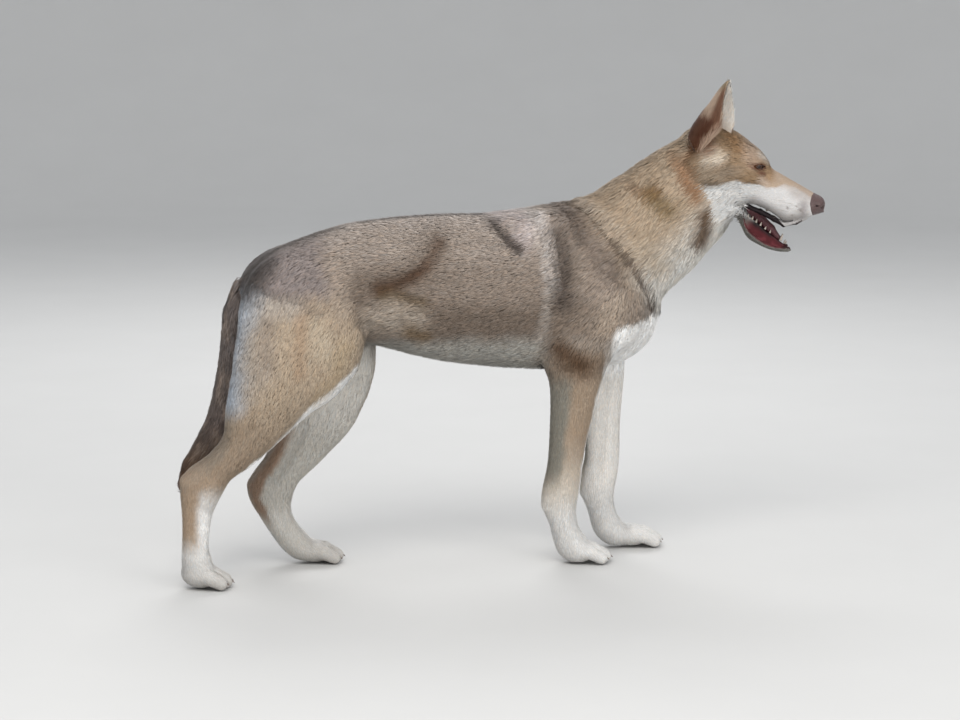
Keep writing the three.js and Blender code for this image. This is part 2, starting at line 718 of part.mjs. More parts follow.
// A straight cone or rod from p to q.
function spike(p, q, r0, r1, facets = 6) {
  const a = new THREE.Vector3(...p), b = new THREE.Vector3(...q), d = b.clone().sub(a);
  const turn = new THREE.Quaternion().setFromUnitVectors(new THREE.Vector3(0, 1, 0), d.clone().normalize());
  const geometry = new THREE.CylinderGeometry(r1, r0, d.length(), facets, 1);
  const middle = a.add(b).multiplyScalar(0.5);
  return fromThree(geometry, new THREE.Matrix4().compose(middle, turn, new THREE.Vector3(1, 1, 1)));
}

// One row of teeth, both sides. Each tooth: [along, aside, height of its root, length, radius].
function teeth(rows, up) {
  return rows.flatMap(([a, s, h, long, r]) => [s, -s].map((aside) => {
    const tooth = spike([a, aside, h - up * 3], [a - 1, aside * 1.04, h + up * long], r, r * 0.25, 5);
    return tooth.transform(headMatrix.elements);
  }));
}
const LOWER_TEETH = [
  [17, 20, -94, 7, 4], [26, 19, -96, 9, 4.8], [34, 18, -97.5, 9, 4.4], // molars
  [46, 16.5, -99.5, 7, 3.8], [58, 15, -101.5, 6, 3.4], [68, 13.5, -103, 5, 2.8],
  [86, 10.5, -105, 15, 4.2], // canine
  [93, 7, -106, 7, 2.6], [96, 2.6, -106.5, 7, 2.6], // incisors
];
const UPPER_TEETH = [
  [10, 19, -72, 8, 4.6], [22, 18, -70, 9, 4.8], [36, 16.5, -69, 12, 5.6],
  [50, 15, -68, 8, 4], [62, 13.5, -66, 7, 3.6], [72, 12.5, -64, 6, 3],
  [81, 11.5, -62, 14, 4.4],
  [91, 7.5, -54, 7, 2.8], [94, 2.6, -53, 7, 2.8],
];

// ---------- the skin as solids, parted into nodes ----------
const inWorld = ([normal, offset]) => {
  const n = new THREE.Vector3(...normal).transformDirection(headMatrix);
  return [n.toArray(), offset + n.dot(new THREE.Vector3(...STOP))];
};
const opposite = ([normal, offset]) => [normal.map((c) => -c), -offset];
const beyond = (form, [n, offset], margin) => (x, y, z) =>
  Math.max(form(x, y, z), offset - margin - (n[0] * x + n[1] * y + n[2] * z));

const HEAD_CUT = through([0.926, 0, 0.378], [372, 0, 783]);
const NECK_CUT = through([0.814, 0, 0.581], [150, 0, 668]);
const JAW_CUT = [[[1, 0, 0], 2], [[0, 0, -1], 90.5]].map(inWorld);
const sides = { right: -1, left: 1 };
const half = (side) => [[0, side, 0], 0.5];
const forelegCut = (side) => [
  half(side), through([0, 1.2 * side, -1], [0, 53 * side, 368]), [[1, 0, 0], 92], [[-1, 0, 0], -420],
];
const hindlegCut = (side) => [half(side), through([0, 1.3 * side, -1], [0, 60 * side, 440]), [[-1, 0, 0], 196]];

// The head is meshed finer than the body, and its front finest.
const headMesh = march(
  beyond(dog, HEAD_CUT, 6), steps([330, 680, 2.8]), steps([-126, 82, 2.8]), steps([556, 836, 2.8]),
);
let skull = solid(thin(headMesh, FACES.head, (x) => (x > 500 ? 1.5 : 1)));
skull = skull.trimByPlane(HEAD_CUT[0], HEAD_CUT[1] + GAP / 2);
const bodyMesh = march(
  beyond(dog, opposite(HEAD_CUT), 6),
  steps([-600, 470, 7.5]), steps([-132, 132, 5.5]), steps([-12, 52, 4], [52, 820, 7.5]),
);
const flesh = solid(thin(bodyMesh, FACES.body, (x, y, z) => (z < 46 ? 2.2 : z < 300 ? 1.3 : 1)))
  .trimByPlane([0, 0, 1], 0)
  .trimByPlane(opposite(HEAD_CUT)[0], -HEAD_CUT[1] + GAP / 2);

let trunkAndNeck = flesh;
const legs = {};
for (const [name, side] of Object.entries(sides)) {
  [legs[`foreleg_${name}`], trunkAndNeck] = split(trunkAndNeck, forelegCut(side));
  [legs[`hindleg_${name}`], trunkAndNeck] = split(trunkAndNeck, hindlegCut(side));
}
for (const [name, { at, yaw }] of Object.entries(PAWS)) {
  const turn = new THREE.Matrix4().makeRotationZ(THREE.MathUtils.degToRad(yaw)).setPosition(...at, 0);
  const claws = TOES.map((rank) => {
    const { tip: [x, y, z] } = toe(rank, name.startsWith("hind"));
    return spike([x + 6, y, z + 2], [x + 17, y, z - 7], 3.4, 0.9, 5).transform(turn.elements);
  });
  const leg = name.replace(/(fore|hind)/, "$1leg");
  legs[leg] = Manifold.union([legs[leg], ...claws]);
}
const [neckCore, torso] = split(trunkAndNeck, [NECK_CUT]);

// The ruff lies over the neck and ends on the shoulders.
const ruff = tiers(
  body, [[366, 0, 640], [322, 0, 606], [280, 0, 576], [244, 0, 552]], 9, 90,
  () => [-0.72, 0, -0.69], () => ({ long: 70, half: 15, thick: 3, lift: 3.4, sunk: 7 }),
);
const neckWithRuff = seat(
  Manifold.union([neckCore, ...ruff]), torso, [0, 1, 0], [0, -1, 0], [-0.5, 0, 1], [1, 0, -1],
);

// The tail hangs against the rump and between the hocks.
const tailLine = columns(BRUSH.map((row, i) => [i, ...row]));
const tailTiers = Array.from({ length: 8 }, (_, i) => tailLine(1.1 + i * 0.93).slice(0, 3));
const tailLocks = tiers(core, tailTiers, 5, 24, (line) => line, (tier) => {
  const full = tier < 6;
  return { long: full ? 78 : 52, half: full ? 11.5 : 8, thick: 3.4, lift: full ? 8 : 5, sunk: 6 };
});
const tailMesh = march(core, steps([-580, -350, 5]), steps([-48, 48, 5]), steps([128, 600, 6]));
const tailCore = solid(thin(tailMesh, FACES.tail));
const tail = seat(
  Manifold.union([tailCore, ...tailLocks]), flesh, [-1, 0, -0.7], [-1, 1.5, 0], [-1, -1.5, 0],
);

const eyes = {}, ears = {};
for (const [name, side] of Object.entries(sides)) {
  ears[name] = seat(ear(side), skull, [-0.3, 0, 1], [0.3, side, 0.3]);
  const socket = headMatrix.clone().multiply(
    new THREE.Matrix4().makeTranslation(EYE.at[0], EYE.at[1] * side, EYE.at[2]),
  );
  const eyeball = (r) => fromThree(new THREE.SphereGeometry(r, 14, 8), socket);
  skull = skull.subtract(eyeball(EYE.ball + GAP));
  eyes[name] = eyeball(EYE.ball);
}

const leather = (grow) => {
  const at = new THREE.Matrix4().makeScale(...NOSE.size.map((c) => c + grow)).setPosition(...NOSE.at);
  return fromThree(new THREE.SphereGeometry(1, 14, 9), headMatrix.clone().multiply(at));
};
const nose = skull.intersect(leather(0));
const [jawBone, faceBone] = split(skull.subtract(leather(GAP)), JAW_CUT).map(largest);
const lowerJaw = Manifold.union([jawBone, ...teeth(LOWER_TEETH, 1)]);
const upperHead = Manifold.union([faceBone, ...teeth(UPPER_TEETH, -1)]);
const tongueMesh = march(tongue, steps([455, 580, 3]), steps([-80, 8, 3]), steps([564, 680, 3]));
const up = inWorld([[0, 0, 1], 0])[0], forward = inWorld([[1, 0, 0], 0])[0];
const tongueSolid = seat(seat(solid(thin(tongueMesh, FACES.tongue)), lowerJaw, up), upperHead, forward);

// ---------- the model ----------
const part = new THREE.Group();
function add(name, made, colour, roughness) {
  const { vertProperties, triVerts } = largest(made).getMesh();
  const geometry = new THREE.BufferGeometry();
  geometry.setAttribute("position", new THREE.BufferAttribute(Float32Array.from(vertProperties), 3));
  geometry.setIndex(new THREE.BufferAttribute(Uint32Array.from(triVerts), 1));
  geometry.computeVertexNormals();
  const mesh = new THREE.Mesh(geometry, new THREE.MeshStandardMaterial({ color: colour, roughness }));
  mesh.name = name;
  part.add(mesh);
}
add("torso", torso, "#9b8878", 0.9);
add("neck", neckWithRuff, "#b09a80", 0.9);
for (const [name, leg] of Object.entries(legs)) add(name, leg, "#c9b8a4", 0.9);
add("tail", tail, "#5d4a3e", 0.9);
add("head", upperHead, "#c8a98c", 0.9);
add("lower_jaw", lowerJaw, "#d9cdc2", 0.9);
add("nose", nose, "#6b4a44", 0.45);
for (const name of Object.keys(sides)) {
  add(`ear_${name}`, ears[name], "#b58a68", 0.9);
  add(`eye_${name}`, eyes[name], "#4a2c17", 0.15);
}
add("tongue", tongueSolid, "#b4585c", 0.4);

// The origin lies on the ground, under the middle of the whole model.
part.scale.setScalar(WITHERS / DRAWN);
part.updateMatrixWorld(true);
const box = new THREE.Box3().setFromObject(part);
part.position.set(-(box.min.x + box.max.x) / 2, -(box.min.y + box.max.y) / 2, -box.min.z);

export default part;
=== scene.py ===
"""A wolfdog standing at ease, life size: its skin, coat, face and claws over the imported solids.

The forms are drawn in millimetres in the dog's own axes: +X to the head, +Y to its left, +Z up.
"""
import math

import bmesh
import bpy
import numpy as np
from mathutils import Matrix, Vector


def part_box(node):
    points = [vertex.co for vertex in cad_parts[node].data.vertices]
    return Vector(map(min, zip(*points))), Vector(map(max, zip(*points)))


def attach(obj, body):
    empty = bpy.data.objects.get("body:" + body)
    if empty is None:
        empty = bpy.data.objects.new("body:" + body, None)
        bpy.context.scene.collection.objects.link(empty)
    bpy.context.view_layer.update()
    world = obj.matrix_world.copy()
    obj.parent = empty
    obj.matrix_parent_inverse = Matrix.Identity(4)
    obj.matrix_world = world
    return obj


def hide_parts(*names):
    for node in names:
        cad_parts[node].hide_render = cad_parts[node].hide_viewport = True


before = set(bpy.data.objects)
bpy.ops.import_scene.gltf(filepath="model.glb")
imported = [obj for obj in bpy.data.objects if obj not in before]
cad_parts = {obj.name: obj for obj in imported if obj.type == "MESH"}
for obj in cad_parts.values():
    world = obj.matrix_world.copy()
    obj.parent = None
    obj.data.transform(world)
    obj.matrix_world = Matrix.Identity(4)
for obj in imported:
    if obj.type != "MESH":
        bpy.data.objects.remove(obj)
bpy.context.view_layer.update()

MM = 1000  # millimetres to a metre
SIDES = (-1, 1)
HANDS = {-1: "right", 1: "left"}

# ---------- the head's own axes: along the muzzle, to the left, up ----------
STOP = np.array([532.0, -45.0, 723.0])  # where forehead and muzzle meet
HEAD_TURN = (
    Matrix.Rotation(math.radians(-21), 3, "Z")
    @ Matrix.Rotation(math.radians(30), 3, "Y")
    @ Matrix.Rotation(math.radians(-2.5), 3, "X")
)
HEAD = np.array(HEAD_TURN)
EYE_AT = np.array([-25.0, 27.0, -13.0])
EYE_BALL = 12.5
GAZE = np.array([0.42, 0.9, 0.05]) / np.linalg.norm([0.42, 0.9, 0.05])


def to_head(P):
    return (P - STOP) @ HEAD


def from_head(H):
    return H @ HEAD.T + STOP


def fold_sides(P):
    return np.c_[P[:, 0], np.abs(P[:, 1]), P[:, 2]]


def eye_shift():
    """How far the model was moved to stand over its origin, read off the right eye."""
    low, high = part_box("eye_right")
    middle = MM / 2 * (np.array(low) + np.array(high))
    return middle - from_head(EYE_AT * [1, -1, 1])


SHIFT = eye_shift()


def placed(P):
    """From the dog's millimetres to metres in the frame."""
    return (np.asarray(P) + SHIFT) / MM


# ---------- implicit forms: each takes points (n, 3) and is negative inside ----------
FAR = 70  # beyond this a bounded form only gives the distance to the ball that holds it


def join(k, forms):
    """All the forms as one, with their joins filled over a width of k."""
    def form(P):
        d = np.full(len(P), 1e3)
        for f in forms:
            d = blend(k, d, f(P))
        return d
    return form


def blend(k, d, e):
    h = np.maximum(k - np.abs(d - e), 0)
    return np.minimum(d, e) - h * h / (4 * k)


def carve(k, form, tool):
    """The form less the tool, with an edge rounded by k."""
    cut = join(k, [lambda P: -form(P), tool])
    return lambda P: -cut(P)


def bounded(points, radii, form):
    """The form, worked out only near the ball that holds its points and radii."""
    points = np.asarray(points, float)
    centre = points.mean(0)
    reach = (np.linalg.norm(points - centre, axis=1) + radii).max()

    def near(P):
        far = np.linalg.norm(P - centre, axis=1) - reach
        close = far <= FAR
        if close.any():
            far[close] = form(P[close])
        return far
    return near


def ball(centre, radii, pitch=0):
    c, s = math.cos(math.radians(pitch)), math.sin(math.radians(pitch))
    radii = np.array(radii, float)
    turn = np.array([[c, 0, -s], [0, 1, 0], [s, 0, c]])
    return bounded([centre], radii.max(),
                   lambda P: (np.linalg.norm((P - centre) @ turn / radii, axis=1) - 1) * radii.min())


def columns(rows):
    """Smooth curves through the columns of a table, read at its first column."""
    rows = np.array(rows, float)
    at, value = rows[:, 0], rows[:, 1:]

    def read(x):
        i = np.clip(np.searchsorted(at, x), 1, len(at) - 1)
        p, q = np.maximum(i - 2, 0), np.minimum(i + 1, len(at) - 1)
        h = at[i] - at[i - 1]
        t = np.clip((x - at[i - 1]) / h, 0, 1)[:, None]
        a, b = value[i - 1], value[i]
        ma = (b - value[p]) * (h / (at[i] - at[p]))[:, None]
        mb = (value[q] - a) * (h / (at[q] - at[i - 1]))[:, None]
        e = b - a
        return a + t * (ma + t * (3 * e - 2 * ma - mb + t * (ma + mb - 2 * e)))
    return read


def strand(k, rows, parts=1):
    """A limb through rows of [x, y, z, radius in the XZ plane, radius across], in spans cut into parts."""
    read = columns([[i, *row] for i, row in enumerate(rows)])
    line = read(np.arange((len(rows) - 1) * parts + 1) / parts)

    def span(a, b):
        d = b[:3] - a[:3]

        def form(P):
            p = P - a[:3]
            t = np.clip(p @ d / (d @ d), 0, 1)
            r, w = a[3] + (b[3] - a[3]) * t, a[4] + (b[4] - a[4]) * t
            x, y, z = (p - t[:, None] * d).T
            return np.sqrt(x * x + (y * r / w) ** 2 + z * z) - r
        return form
    spans = [span(a, b) for a, b in zip(line[:-1], line[1:])]
    return bounded(line[:, :3], line[:, 3:].max(1), join(k, spans))


def barrel(rows, power):
    """A body of egg-shaped sections, from rows of [x, top, bottom, half width, height of the widest]."""
    read = columns(rows)

    def form(P):
        x, y, z = P.T
        along = np.clip(x, rows[0][0], rows[-1][0])
        top, bottom, half, wide = read(along).T
        tall = np.where(z > wide, top - wide, wide - bottom)
        u, v = np.abs(y) / half, np.abs(z - wide) / tall
        d = ((u ** power + v ** power) ** (1 / power) - 1) * np.minimum(half, tall)
        return np.hypot(np.maximum(d, 0), x - along) + np.minimum(d, 0)
    return form


# ---------- trunk, neck and legs ----------
TRUNK = barrel([
    # x, top, bottom, half width, widest
    [-458, 532, 498, 10, 514], [-438, 556, 480, 42, 518], [-395, 588, 458, 72, 526],
    [-340, 610, 446, 83, 530], [-265, 633, 424, 80, 535], [-190, 643, 404, 84, 530],
    [-100, 648, 379, 95, 520], [0, 648, 363, 102, 515], [95, 655, 354, 102, 505],
    [190, 640, 350, 94, 490], [262, 590, 364, 78, 470], [300, 532, 390, 60, 455],
    [318, 492, 416, 32, 452], [328, 462, 440, 8, 450],
], 2.2)
NECK = strand(30, [
    [150, 0, 560, 88, 72], [234, 0, 556, 118, 80], [314, -1, 612, 108, 75],
    [384, -5, 666, 94, 68], [432, -10, 702, 83, 63],
])


def foreleg_rows(side):
    y, lead = side * 53, 0 if side < 0 else 106  # the left foreleg stands a step ahead
    return [
        [156 + lead * 0.72, side * 62, 380, 54, 34], [151 + lead * 0.82, side * 58, 318, 44, 30],
        [143 + lead * 0.9, y, 247, 36, 27], [135 + lead, y, 180, 32, 25], [129 + lead, y, 142, 32.5, 27],
        [125 + lead, y, 116, 31, 26], [132 + lead, y, 82, 24, 24], [143 + lead, y, 46, 25, 27],
        [160 + lead, y, 27, 24, 30],
    ]


def shoulder(side):
    back, low = (214, 152) if side < 0 else (240, 222)
    return strand(30, [
        [112, side * 46, 588, 56, 32], [back, side * 64, 468, 60, 36], [low, side * 64, 398, 52, 34],
    ])


HIND_ROWS = {
    # thigh, shank and cannon of the right leg and of the left, as x, aside, z, radius, half width
    -1: (
        [[-370, 46, 500, 84, 40], [-356, 58, 430, 110, 44], [-398, 66, 366, 72, 42], [-431, 72, 310, 54, 34]],
        [[-431, 72, 310, 54, 34], [-463, 74, 252, 36, 28], [-508, 74, 214, 27, 24], [-535, 74, 186, 31, 23]],
        [[-540, 74, 182, 34, 24], [-547, 74, 124, 24, 22], [-550, 74, 66, 22, 22], [-544, 74, 34, 26, 28]],
    ),
    1: (
        [[-365, 46, 500, 84, 40], [-318, 58, 430, 112, 44], [-292, 66, 362, 90, 42], [-298, 72, 288, 66, 35]],
        [[-298, 72, 288, 66, 35], [-328, 74, 226, 48, 30], [-366, 74, 178, 36, 26], [-390, 74, 144, 35, 24]],
        [[-390, 74, 142, 35, 24], [-380, 74, 102, 27, 22], [-360, 74, 62, 23, 22], [-334, 74, 32, 25, 28]],
    ),
}
PAWS = {
    "fore_right": ((164, -53), -4), "fore_left": ((300, 53), 4),
    "hind_right": ((-537, -74), -4), "hind_left": ((-305, 74), 4),
}
TOES = (-1.5, -0.5, 0.5, 1.5)


def toe(rank, hind):
    """Knuckle and tip of one toe, in the paw's own axes."""
    middle = abs(rank) < 1
    reach = (46 if middle else 35) - (7 if hind else 0)
    out = rank * (17 if middle else 18.5)
    return (reach - 20, out * 0.96, 24), (reach, out, 13)


def in_paw(name, form):
    at, yaw = PAWS[name]
    c, s = math.cos(math.radians(yaw)), math.sin(math.radians(yaw))
    turn = np.array([[c, -s, 0], [s, c, 0], [0, 0, 1]])
    return lambda P: form((P - [*at, 0]) @ turn)


def paw(name):
    forms = [ball([-6, 0, 22], [34, 29, 21], -12)]
    for rank in TOES:
        knuckle, tip = toe(rank, name.startswith("hind"))
        forms.append(strand(4, [[-2, rank * 12, 26, 17, 15], [*knuckle, 13.5, 11.5], [*tip, 12.5, 10.5]]))
    return in_paw(name, join(3.5, forms))


# ---------- head ----------
def in_head(form):
    """A form drawn in the head's axes on one side, on both sides of the dog's head."""
    return lambda P: form(fold_sides(to_head(P)))


# The opening between the lids, along the line of sight: half length and half height.
SLIT = (9.5, 3.1)
SLIT_FORWARD = 4.0  # how far the opening lies towards the nose from the middle of the eye
SLIT_ALONG = np.array([0.8, -0.45, 0.36]) - GAZE * (np.array([0.8, -0.45, 0.36]) @ GAZE)
SLIT_ALONG /= np.linalg.norm(SLIT_ALONG)
SLIT_UP = -np.cross(GAZE, SLIT_ALONG)


def slit_place(H):
    """Along the slit, across it and out of the eye, from the middle of the slit."""
    p = H - EYE_AT
    return p @ SLIT_ALONG - SLIT_FORWARD, p @ SLIT_UP, p @ GAZE


def slit_radius():
    """The radius of the two arcs that meet at the slit's corners."""
    half, tall = SLIT
    return (half * half + tall * tall) / (2 * tall)


def slit(H):
    radius = slit_radius()
    u, v, out = slit_place(H)
    return np.maximum(np.hypot(u, np.abs(v) + radius - SLIT[1]) - radius, 4 - out)


CRANIUM = join(14, [
    ball([-86, 0, -32], [78, 50, 54]), ball([-36, 15, -13], [34, 22, 29], -10),
    ball([-54, 36, -44], [42, 22, 24], 8), ball([-92, 38, -82], [46, 30, 44]),
    ball([-126, 41, -28], [33, 23, 30], 20), ball([-76, 0, -108], [58, 44, 36], 12),
])
MUZZLE = barrel([
    # along, top, bottom, half width, widest
    [-34, -2, -96, 44, -58], [0, -2, -90, 36, -58], [26, -4, -80, 31, -56], [52, -4, -80, 28, -54],
    [70, -4, -82, 27, -50], [88, -4, -70, 24, -42], [102, -4, -56, 20, -34], [112, -6, -40, 15, -24],
], 2.1)
MANDIBLE = barrel([
    [-44, -86, -128, 40, -106], [0, -91, -134, 32, -110], [35, -98, -137, 25, -114],
    [70, -104, -135, 19, -117], [94, -107, -128, 14, -117], [107, -110, -121, 9, -116],
], 2.3)
SNOUT = join(5, [
    MUZZLE,
    strand(6, [[20, 0, -22, 17, 17], [100, 0, -19, 15, 14]]),
    ball([108, 0, -17], [14.5, 16, 14]),
])
UPPER_LIP_ROWS = [
    [-6, 40, -86, 5, 5], [26, 30, -82, 5, 4.5], [54, 26.5, -81, 4.5, 4], [74, 24, -81, 4, 4],
    [92, 18, -66, 3.5, 3.5], [104, 9, -50, 3, 3],
]
LOWER_LIP_ROWS = [
    [-2, 36, -99, 4, 4], [4, 35, -108, 4, 4], [12, 32, -117, 4, 4], [24, 28, -124, 4, 3.6],
    [42, 24, -128, 3.6, 3.4], [62, 20, -129, 3.6, 3.2], [80, 16.5, -126, 3.4, 3.2], [97, 11, -119, 3.3, 3.2],
    [105, 4, -114, 3.2, 3.2],
]
GUM = [(-4, 27), (35, 17.5), (70, 12.5), (94, 8.5), (103, 0)]  # along, aside


def lip_shelf(H):
    """The space over the turned-out lower lip, down to its edge and in to the gum."""
    along, aside, high = H.T
    rows = np.array(LOWER_LIP_ROWS, float)
    edge = np.interp(along, rows[:, 0], rows[:, 2]) + 1.5
    gum = np.interp(along, *np.array(GUM, float).T)
    return np.maximum(np.maximum(edge - high, gum - aside), -3 - along)


LIDS = ball(EYE_AT, [14.2, 14.2, 14.2])
NOSTRIL = join(2, [
    ball([119, 7.5, -17], [7, 3.4, 3.6]), strand(2, [[116, 9, -18, 2.6, 2.6], [108, 15, -21, 1.6, 3]]),
])
PALATE = strand(4, [[4, 0, -84, 12, 22], [40, 0, -80, 14, 17], [84, 0, -66, 10, 12]])
TROUGH = strand(4, [[6, 0, -88, 12, 20], [50, 0, -100, 12, 13], [90, 0, -106, 7, 9]])
UPPER = carve(3, join(3, [join(9, [join(12, [CRANIUM, SNOUT]), LIDS]), strand(4, UPPER_LIP_ROWS)]), PALATE)
LOWER = carve(3, join(3, [carve(3, MANDIBLE, lip_shelf), strand(4, LOWER_LIP_ROWS)]), TROUGH)
HEAD_FORM = in_head(carve(1.5, carve(2, join(3, [UPPER, LOWER]), slit), NOSTRIL))

# ---------- the parts of the body ----------
LIMBS = {}
for side, hand in HANDS.items():
    LIMBS[f"shoulder_{hand}"] = shoulder(side)
    LIMBS[f"foreleg_{hand}"] = strand(12, foreleg_rows(side), 3)
    for part, rows, k, parts in zip(("thigh", "shank", "cannon"), HIND_ROWS[side], (30, 14, 12), (2, 3, 3)):
        LIMBS[f"{part}_{hand}"] = strand(k, [[x, side * y, *rest] for x, y, *rest in rows], parts)
FEET = {f"paw_{name}": paw(name) for name in PAWS}
PARTS = {"trunk": TRUNK, "neck": NECK, **LIMBS, **FEET, "head": HEAD_FORM}
KINDS = ("trunk", "neck", "shoulder", "foreleg", "thigh", "shank", "cannon", "paw", "head")


def measure(P):
    return {name: form(P) for name, form in PARTS.items()}


def whole(m):
    d = blend(40, m["trunk"], m["neck"])
    for k, names in ((26, LIMBS), (10, FEET)):
        for name in names:
            d = blend(k, d, m[name])
    return blend(24, d, m["head"])


SOFT = 13.0  # how far one part's coat runs on into the next


def shares(m):
    """How much of each kind of part a point has, from the distances to the parts."""
    share = {kind: 0 for kind in KINDS}
    least = np.min(list(m.values()), axis=0)
    for name, d in m.items():
        share[name.split("_")[0]] = share[name.split("_")[0]] + np.exp((least - d) / SOFT)
    total = sum(share.values())
    return {kind: value / total for kind, value in share.items()}


def strongest(share):
    """Which kind of part each point is mostly on, as a place in KINDS."""
    return np.argmax(np.stack([share[kind] for kind in KINDS]), 0)


def mix(share, table):
    """A table's numbers, or rows of numbers, blended by each point's share of each kind."""
    return sum(share[kind] * (np.reshape(table[kind], (-1, 1)) if np.ndim(table[kind]) else table[kind])
               for kind in KINDS)


def ramp(x, low, high):
    t = np.clip((x - low) / (high - low), 0, 1)
    return t * t * (3 - 2 * t)


DEPTH = {  # from the skin to the tips of the coat
    "trunk": 7, "neck": 12, "shoulder": 5, "foreleg": 1.8, "thigh": 6, "shank": 3, "cannon": 1.6, "paw": 0.8,
    "head": 0,
}
INSET = {**DEPTH, "foreleg": 4.6, "shank": 4.4, "cannon": 3.2}  # from the solid's surface in to the skin
RELIEF = [
    # how far the skin stands out, or lies in; half width; the points it runs through at |y|
    (-5, 12, [(-97, 82, 592), (-135, 88, 553), (-171, 86, 530), (-225, 81, 520)]),  # fold of the flank
    (-3, 8, [(-214, 83, 503), (-165, 86, 503), (-128, 90, 496)]),
    (3, 11, [(-233, 75, 478), (-190, 74, 462)]),
    (3, 18, [(-285, 80, 572), (-276, 84, 530)]),  # point of the hip
    (-2.5, 9, [(-434, 74, 531), (-405, 88, 522), (-344, 97, 508), (-300, 92, 494)]),
    (-2.5, 9, [(-412, 98, 470), (-420, 105, 400)]),
    (-2, 9, [(-338, 100, 470), (-340, 106, 405)]),
    (2.5, 10, [(93, 50, 646), (98, 90, 585), (105, 99, 530)]),  # ridge and hollow behind the shoulder
    (-4, 12, [(122, 84, 604), (131, 94, 562), (128, 97, 520)]),
    (-3, 7, [(4, 55, 632), (20, 80, 603), (39, 90, 584)]),  # the saddle's edge
    (2.5, 13, [(34, 40, 642), (58, 62, 630)]),
    # the ruff's rear edge, and the ruff before it
    (-4, 8, [(160, 12, 662), (196, 60, 630), (232, 84, 596), (258, 88, 558), (284, 76, 512), (294, 62, 474)]),
    (4, 11, [(174, 22, 672), (208, 60, 646), (248, 84, 608), (276, 88, 566), (303, 74, 518), (312, 60, 482)]),
    (-3.5, 9, [(112, 90, 372), (142, 99, 372), (172, 94, 380)]),  # over the elbow
    (3, 16, [(120, 92, 402), (110, 84, 380)]),
    (5, 26, [(300, 0, 733), (340, 0, 757), (376, 0, 780)]),  # nape
]
LEG_RELIEF = [
    (-3, 8, [(140, -88, 318), (128, -84, 235), (118, -80, 160)]),  # furrow down each foreleg
    (-3, 8, [(236, 28, 318), (232, 25, 235), (224, 27, 160)]),
    (3, 9, [(98, -53, 110)]), (3, 9, [(204, 53, 110)]),  # rear and front of each foreleg's wrist
    (2.5, 10, [(150, -53, 138)]), (2.5, 10, [(256, 53, 138)]),
    # hollows of the shanks, without and within
    (-6, 9, [(-452, -106, 292), (-486, -103, 248), (-519, -100, 208)]),
    (-6, 9, [(-330, 40, 268), (-352, 46, 220), (-381, 50, 176)]),
    (-5, 9, [(-476, -50, 258), (-512, -52, 210)]),
    (-5, 9, [(-316, 100, 268), (-340, 102, 220), (-371, 100, 176)]),
    (3, 9, [(-570, -74, 196)]), (3, 9, [(-424, 74, 154)]),  # heels
    (-2, 6, [(-540, -97, 150), (-545, -96, 70)]), (-2, 6, [(-380, 50, 110), (-366, 50, 66)]),
]
HEAD_RELIEF = [
    (1.6, 6, [(-38, 33, 3), (-22, 29, 7), (-8, 20, 3)]),  # brow
    (2, 8, [(-8, 36, -32), (-34, 44, -36), (-58, 54, -36)]),  # cheekbone
    (-1.6, 5, [(2, 26, -16), (18, 27, -26)]),
    (-1.5, 7, [(-2, 0, 2), (-34, 0, 14)]),
    (2.0, 18, [(76, 24, -48)]),
]
TOE_GAPS = [  # in the paw's own axes, at |y|
    [(14, 0, 39), (34, 0, 30), (46, 0, 10)], [(8, 18, 34), (27, 18, 26), (41, 18, 8)],
]


def streak(P, points, wide, soft=0.6):
    """A soft band along a line of points."""
    points = np.array(points, float)
    points = points if len(points) > 1 else np.repeat(points, 2, 0) + [[0, 0, 0], [0, 0, 0.1]]
    near = np.full(len(P), 1e3)
    inside = ((P > points.min(0) - 2 * wide) & (P < points.max(0) + 2 * wide)).all(1)
    Q, d = P[inside], near[inside]
    for a, b in zip(points[:-1], points[1:]):
        along = b - a
        t = np.clip((Q - a) @ along / (along @ along), 0, 1)[:, None]
        d = np.minimum(d, np.linalg.norm(Q - a - t * along, axis=1))
    near[inside] = d
    return 1 - ramp(near / wide, 1 - soft, 1 + soft)


def mark(P, points, wide, flat=0.35):
    """A streak that reaches further in across the dog than along it, so that it lies on the surface."""
    return streak(P * [1, flat, 1], [[x, y * flat, z] for x, y, z in points], 1.15 * wide, 0.95)


def relief(P):
    """Folds, tendons and hollows: how far the skin stands out from the plain form."""
    total = np.zeros(len(P))
    for place, table in ((fold_sides(P), RELIEF), (P, LEG_RELIEF), (fold_sides(to_head(P)), HEAD_RELIEF)):
        for height, wide, line in table:
            total += height * streak(place, line, wide)
    return total - 5 * toe_gaps(P)


PAW_TOP, PAW_REACH, GAP_WIDTH = 60, 75, 3.4


def toe_gaps(P):
    """1 along the gaps between the toes."""
    total, low = np.zeros(len(P)), P[:, 2] < PAW_TOP
    for name, (at, _) in PAWS.items():
        near = low & (np.linalg.norm(P[:, :2] - at, axis=1) < PAW_REACH)
        if near.any():
            place = fold_sides(in_paw(name, lambda Q: Q)(P[near]))
            total[near] += sum(streak(place, line, GAP_WIDTH) for line in TOE_GAPS)
    return np.minimum(total, 1)


def head_depth(P):
    """How deep the coat is on the head: longest on the cheeks, least round the eyes."""
    H = to_head(P)
    cheek = 6 * ramp(-H[:, 0], 30, 95) * ramp(-H[:, 2], -20, 50)
    near_eye = np.linalg.norm(fold_sides(H) - EYE_AT, axis=1)
    return 0.6 + (2 * ramp(-H[:, 0], 0, 60) + cheek) * ramp(near_eye, 16, 44)


def jaw_notch(P):
    """The gap between the hanging jaw and the throat."""
    a, _, h = to_head(P).T
    fall = 0.77  # of the jaw's lower edge, towards the nose
    under_jaw = (h + 108 + fall * (a + 8)) / 1.26
    rear, bottom, chest = -17, -165, 480
    return np.maximum.reduce([rear - a, under_jaw, bottom - h, chest - P[:, 2]])


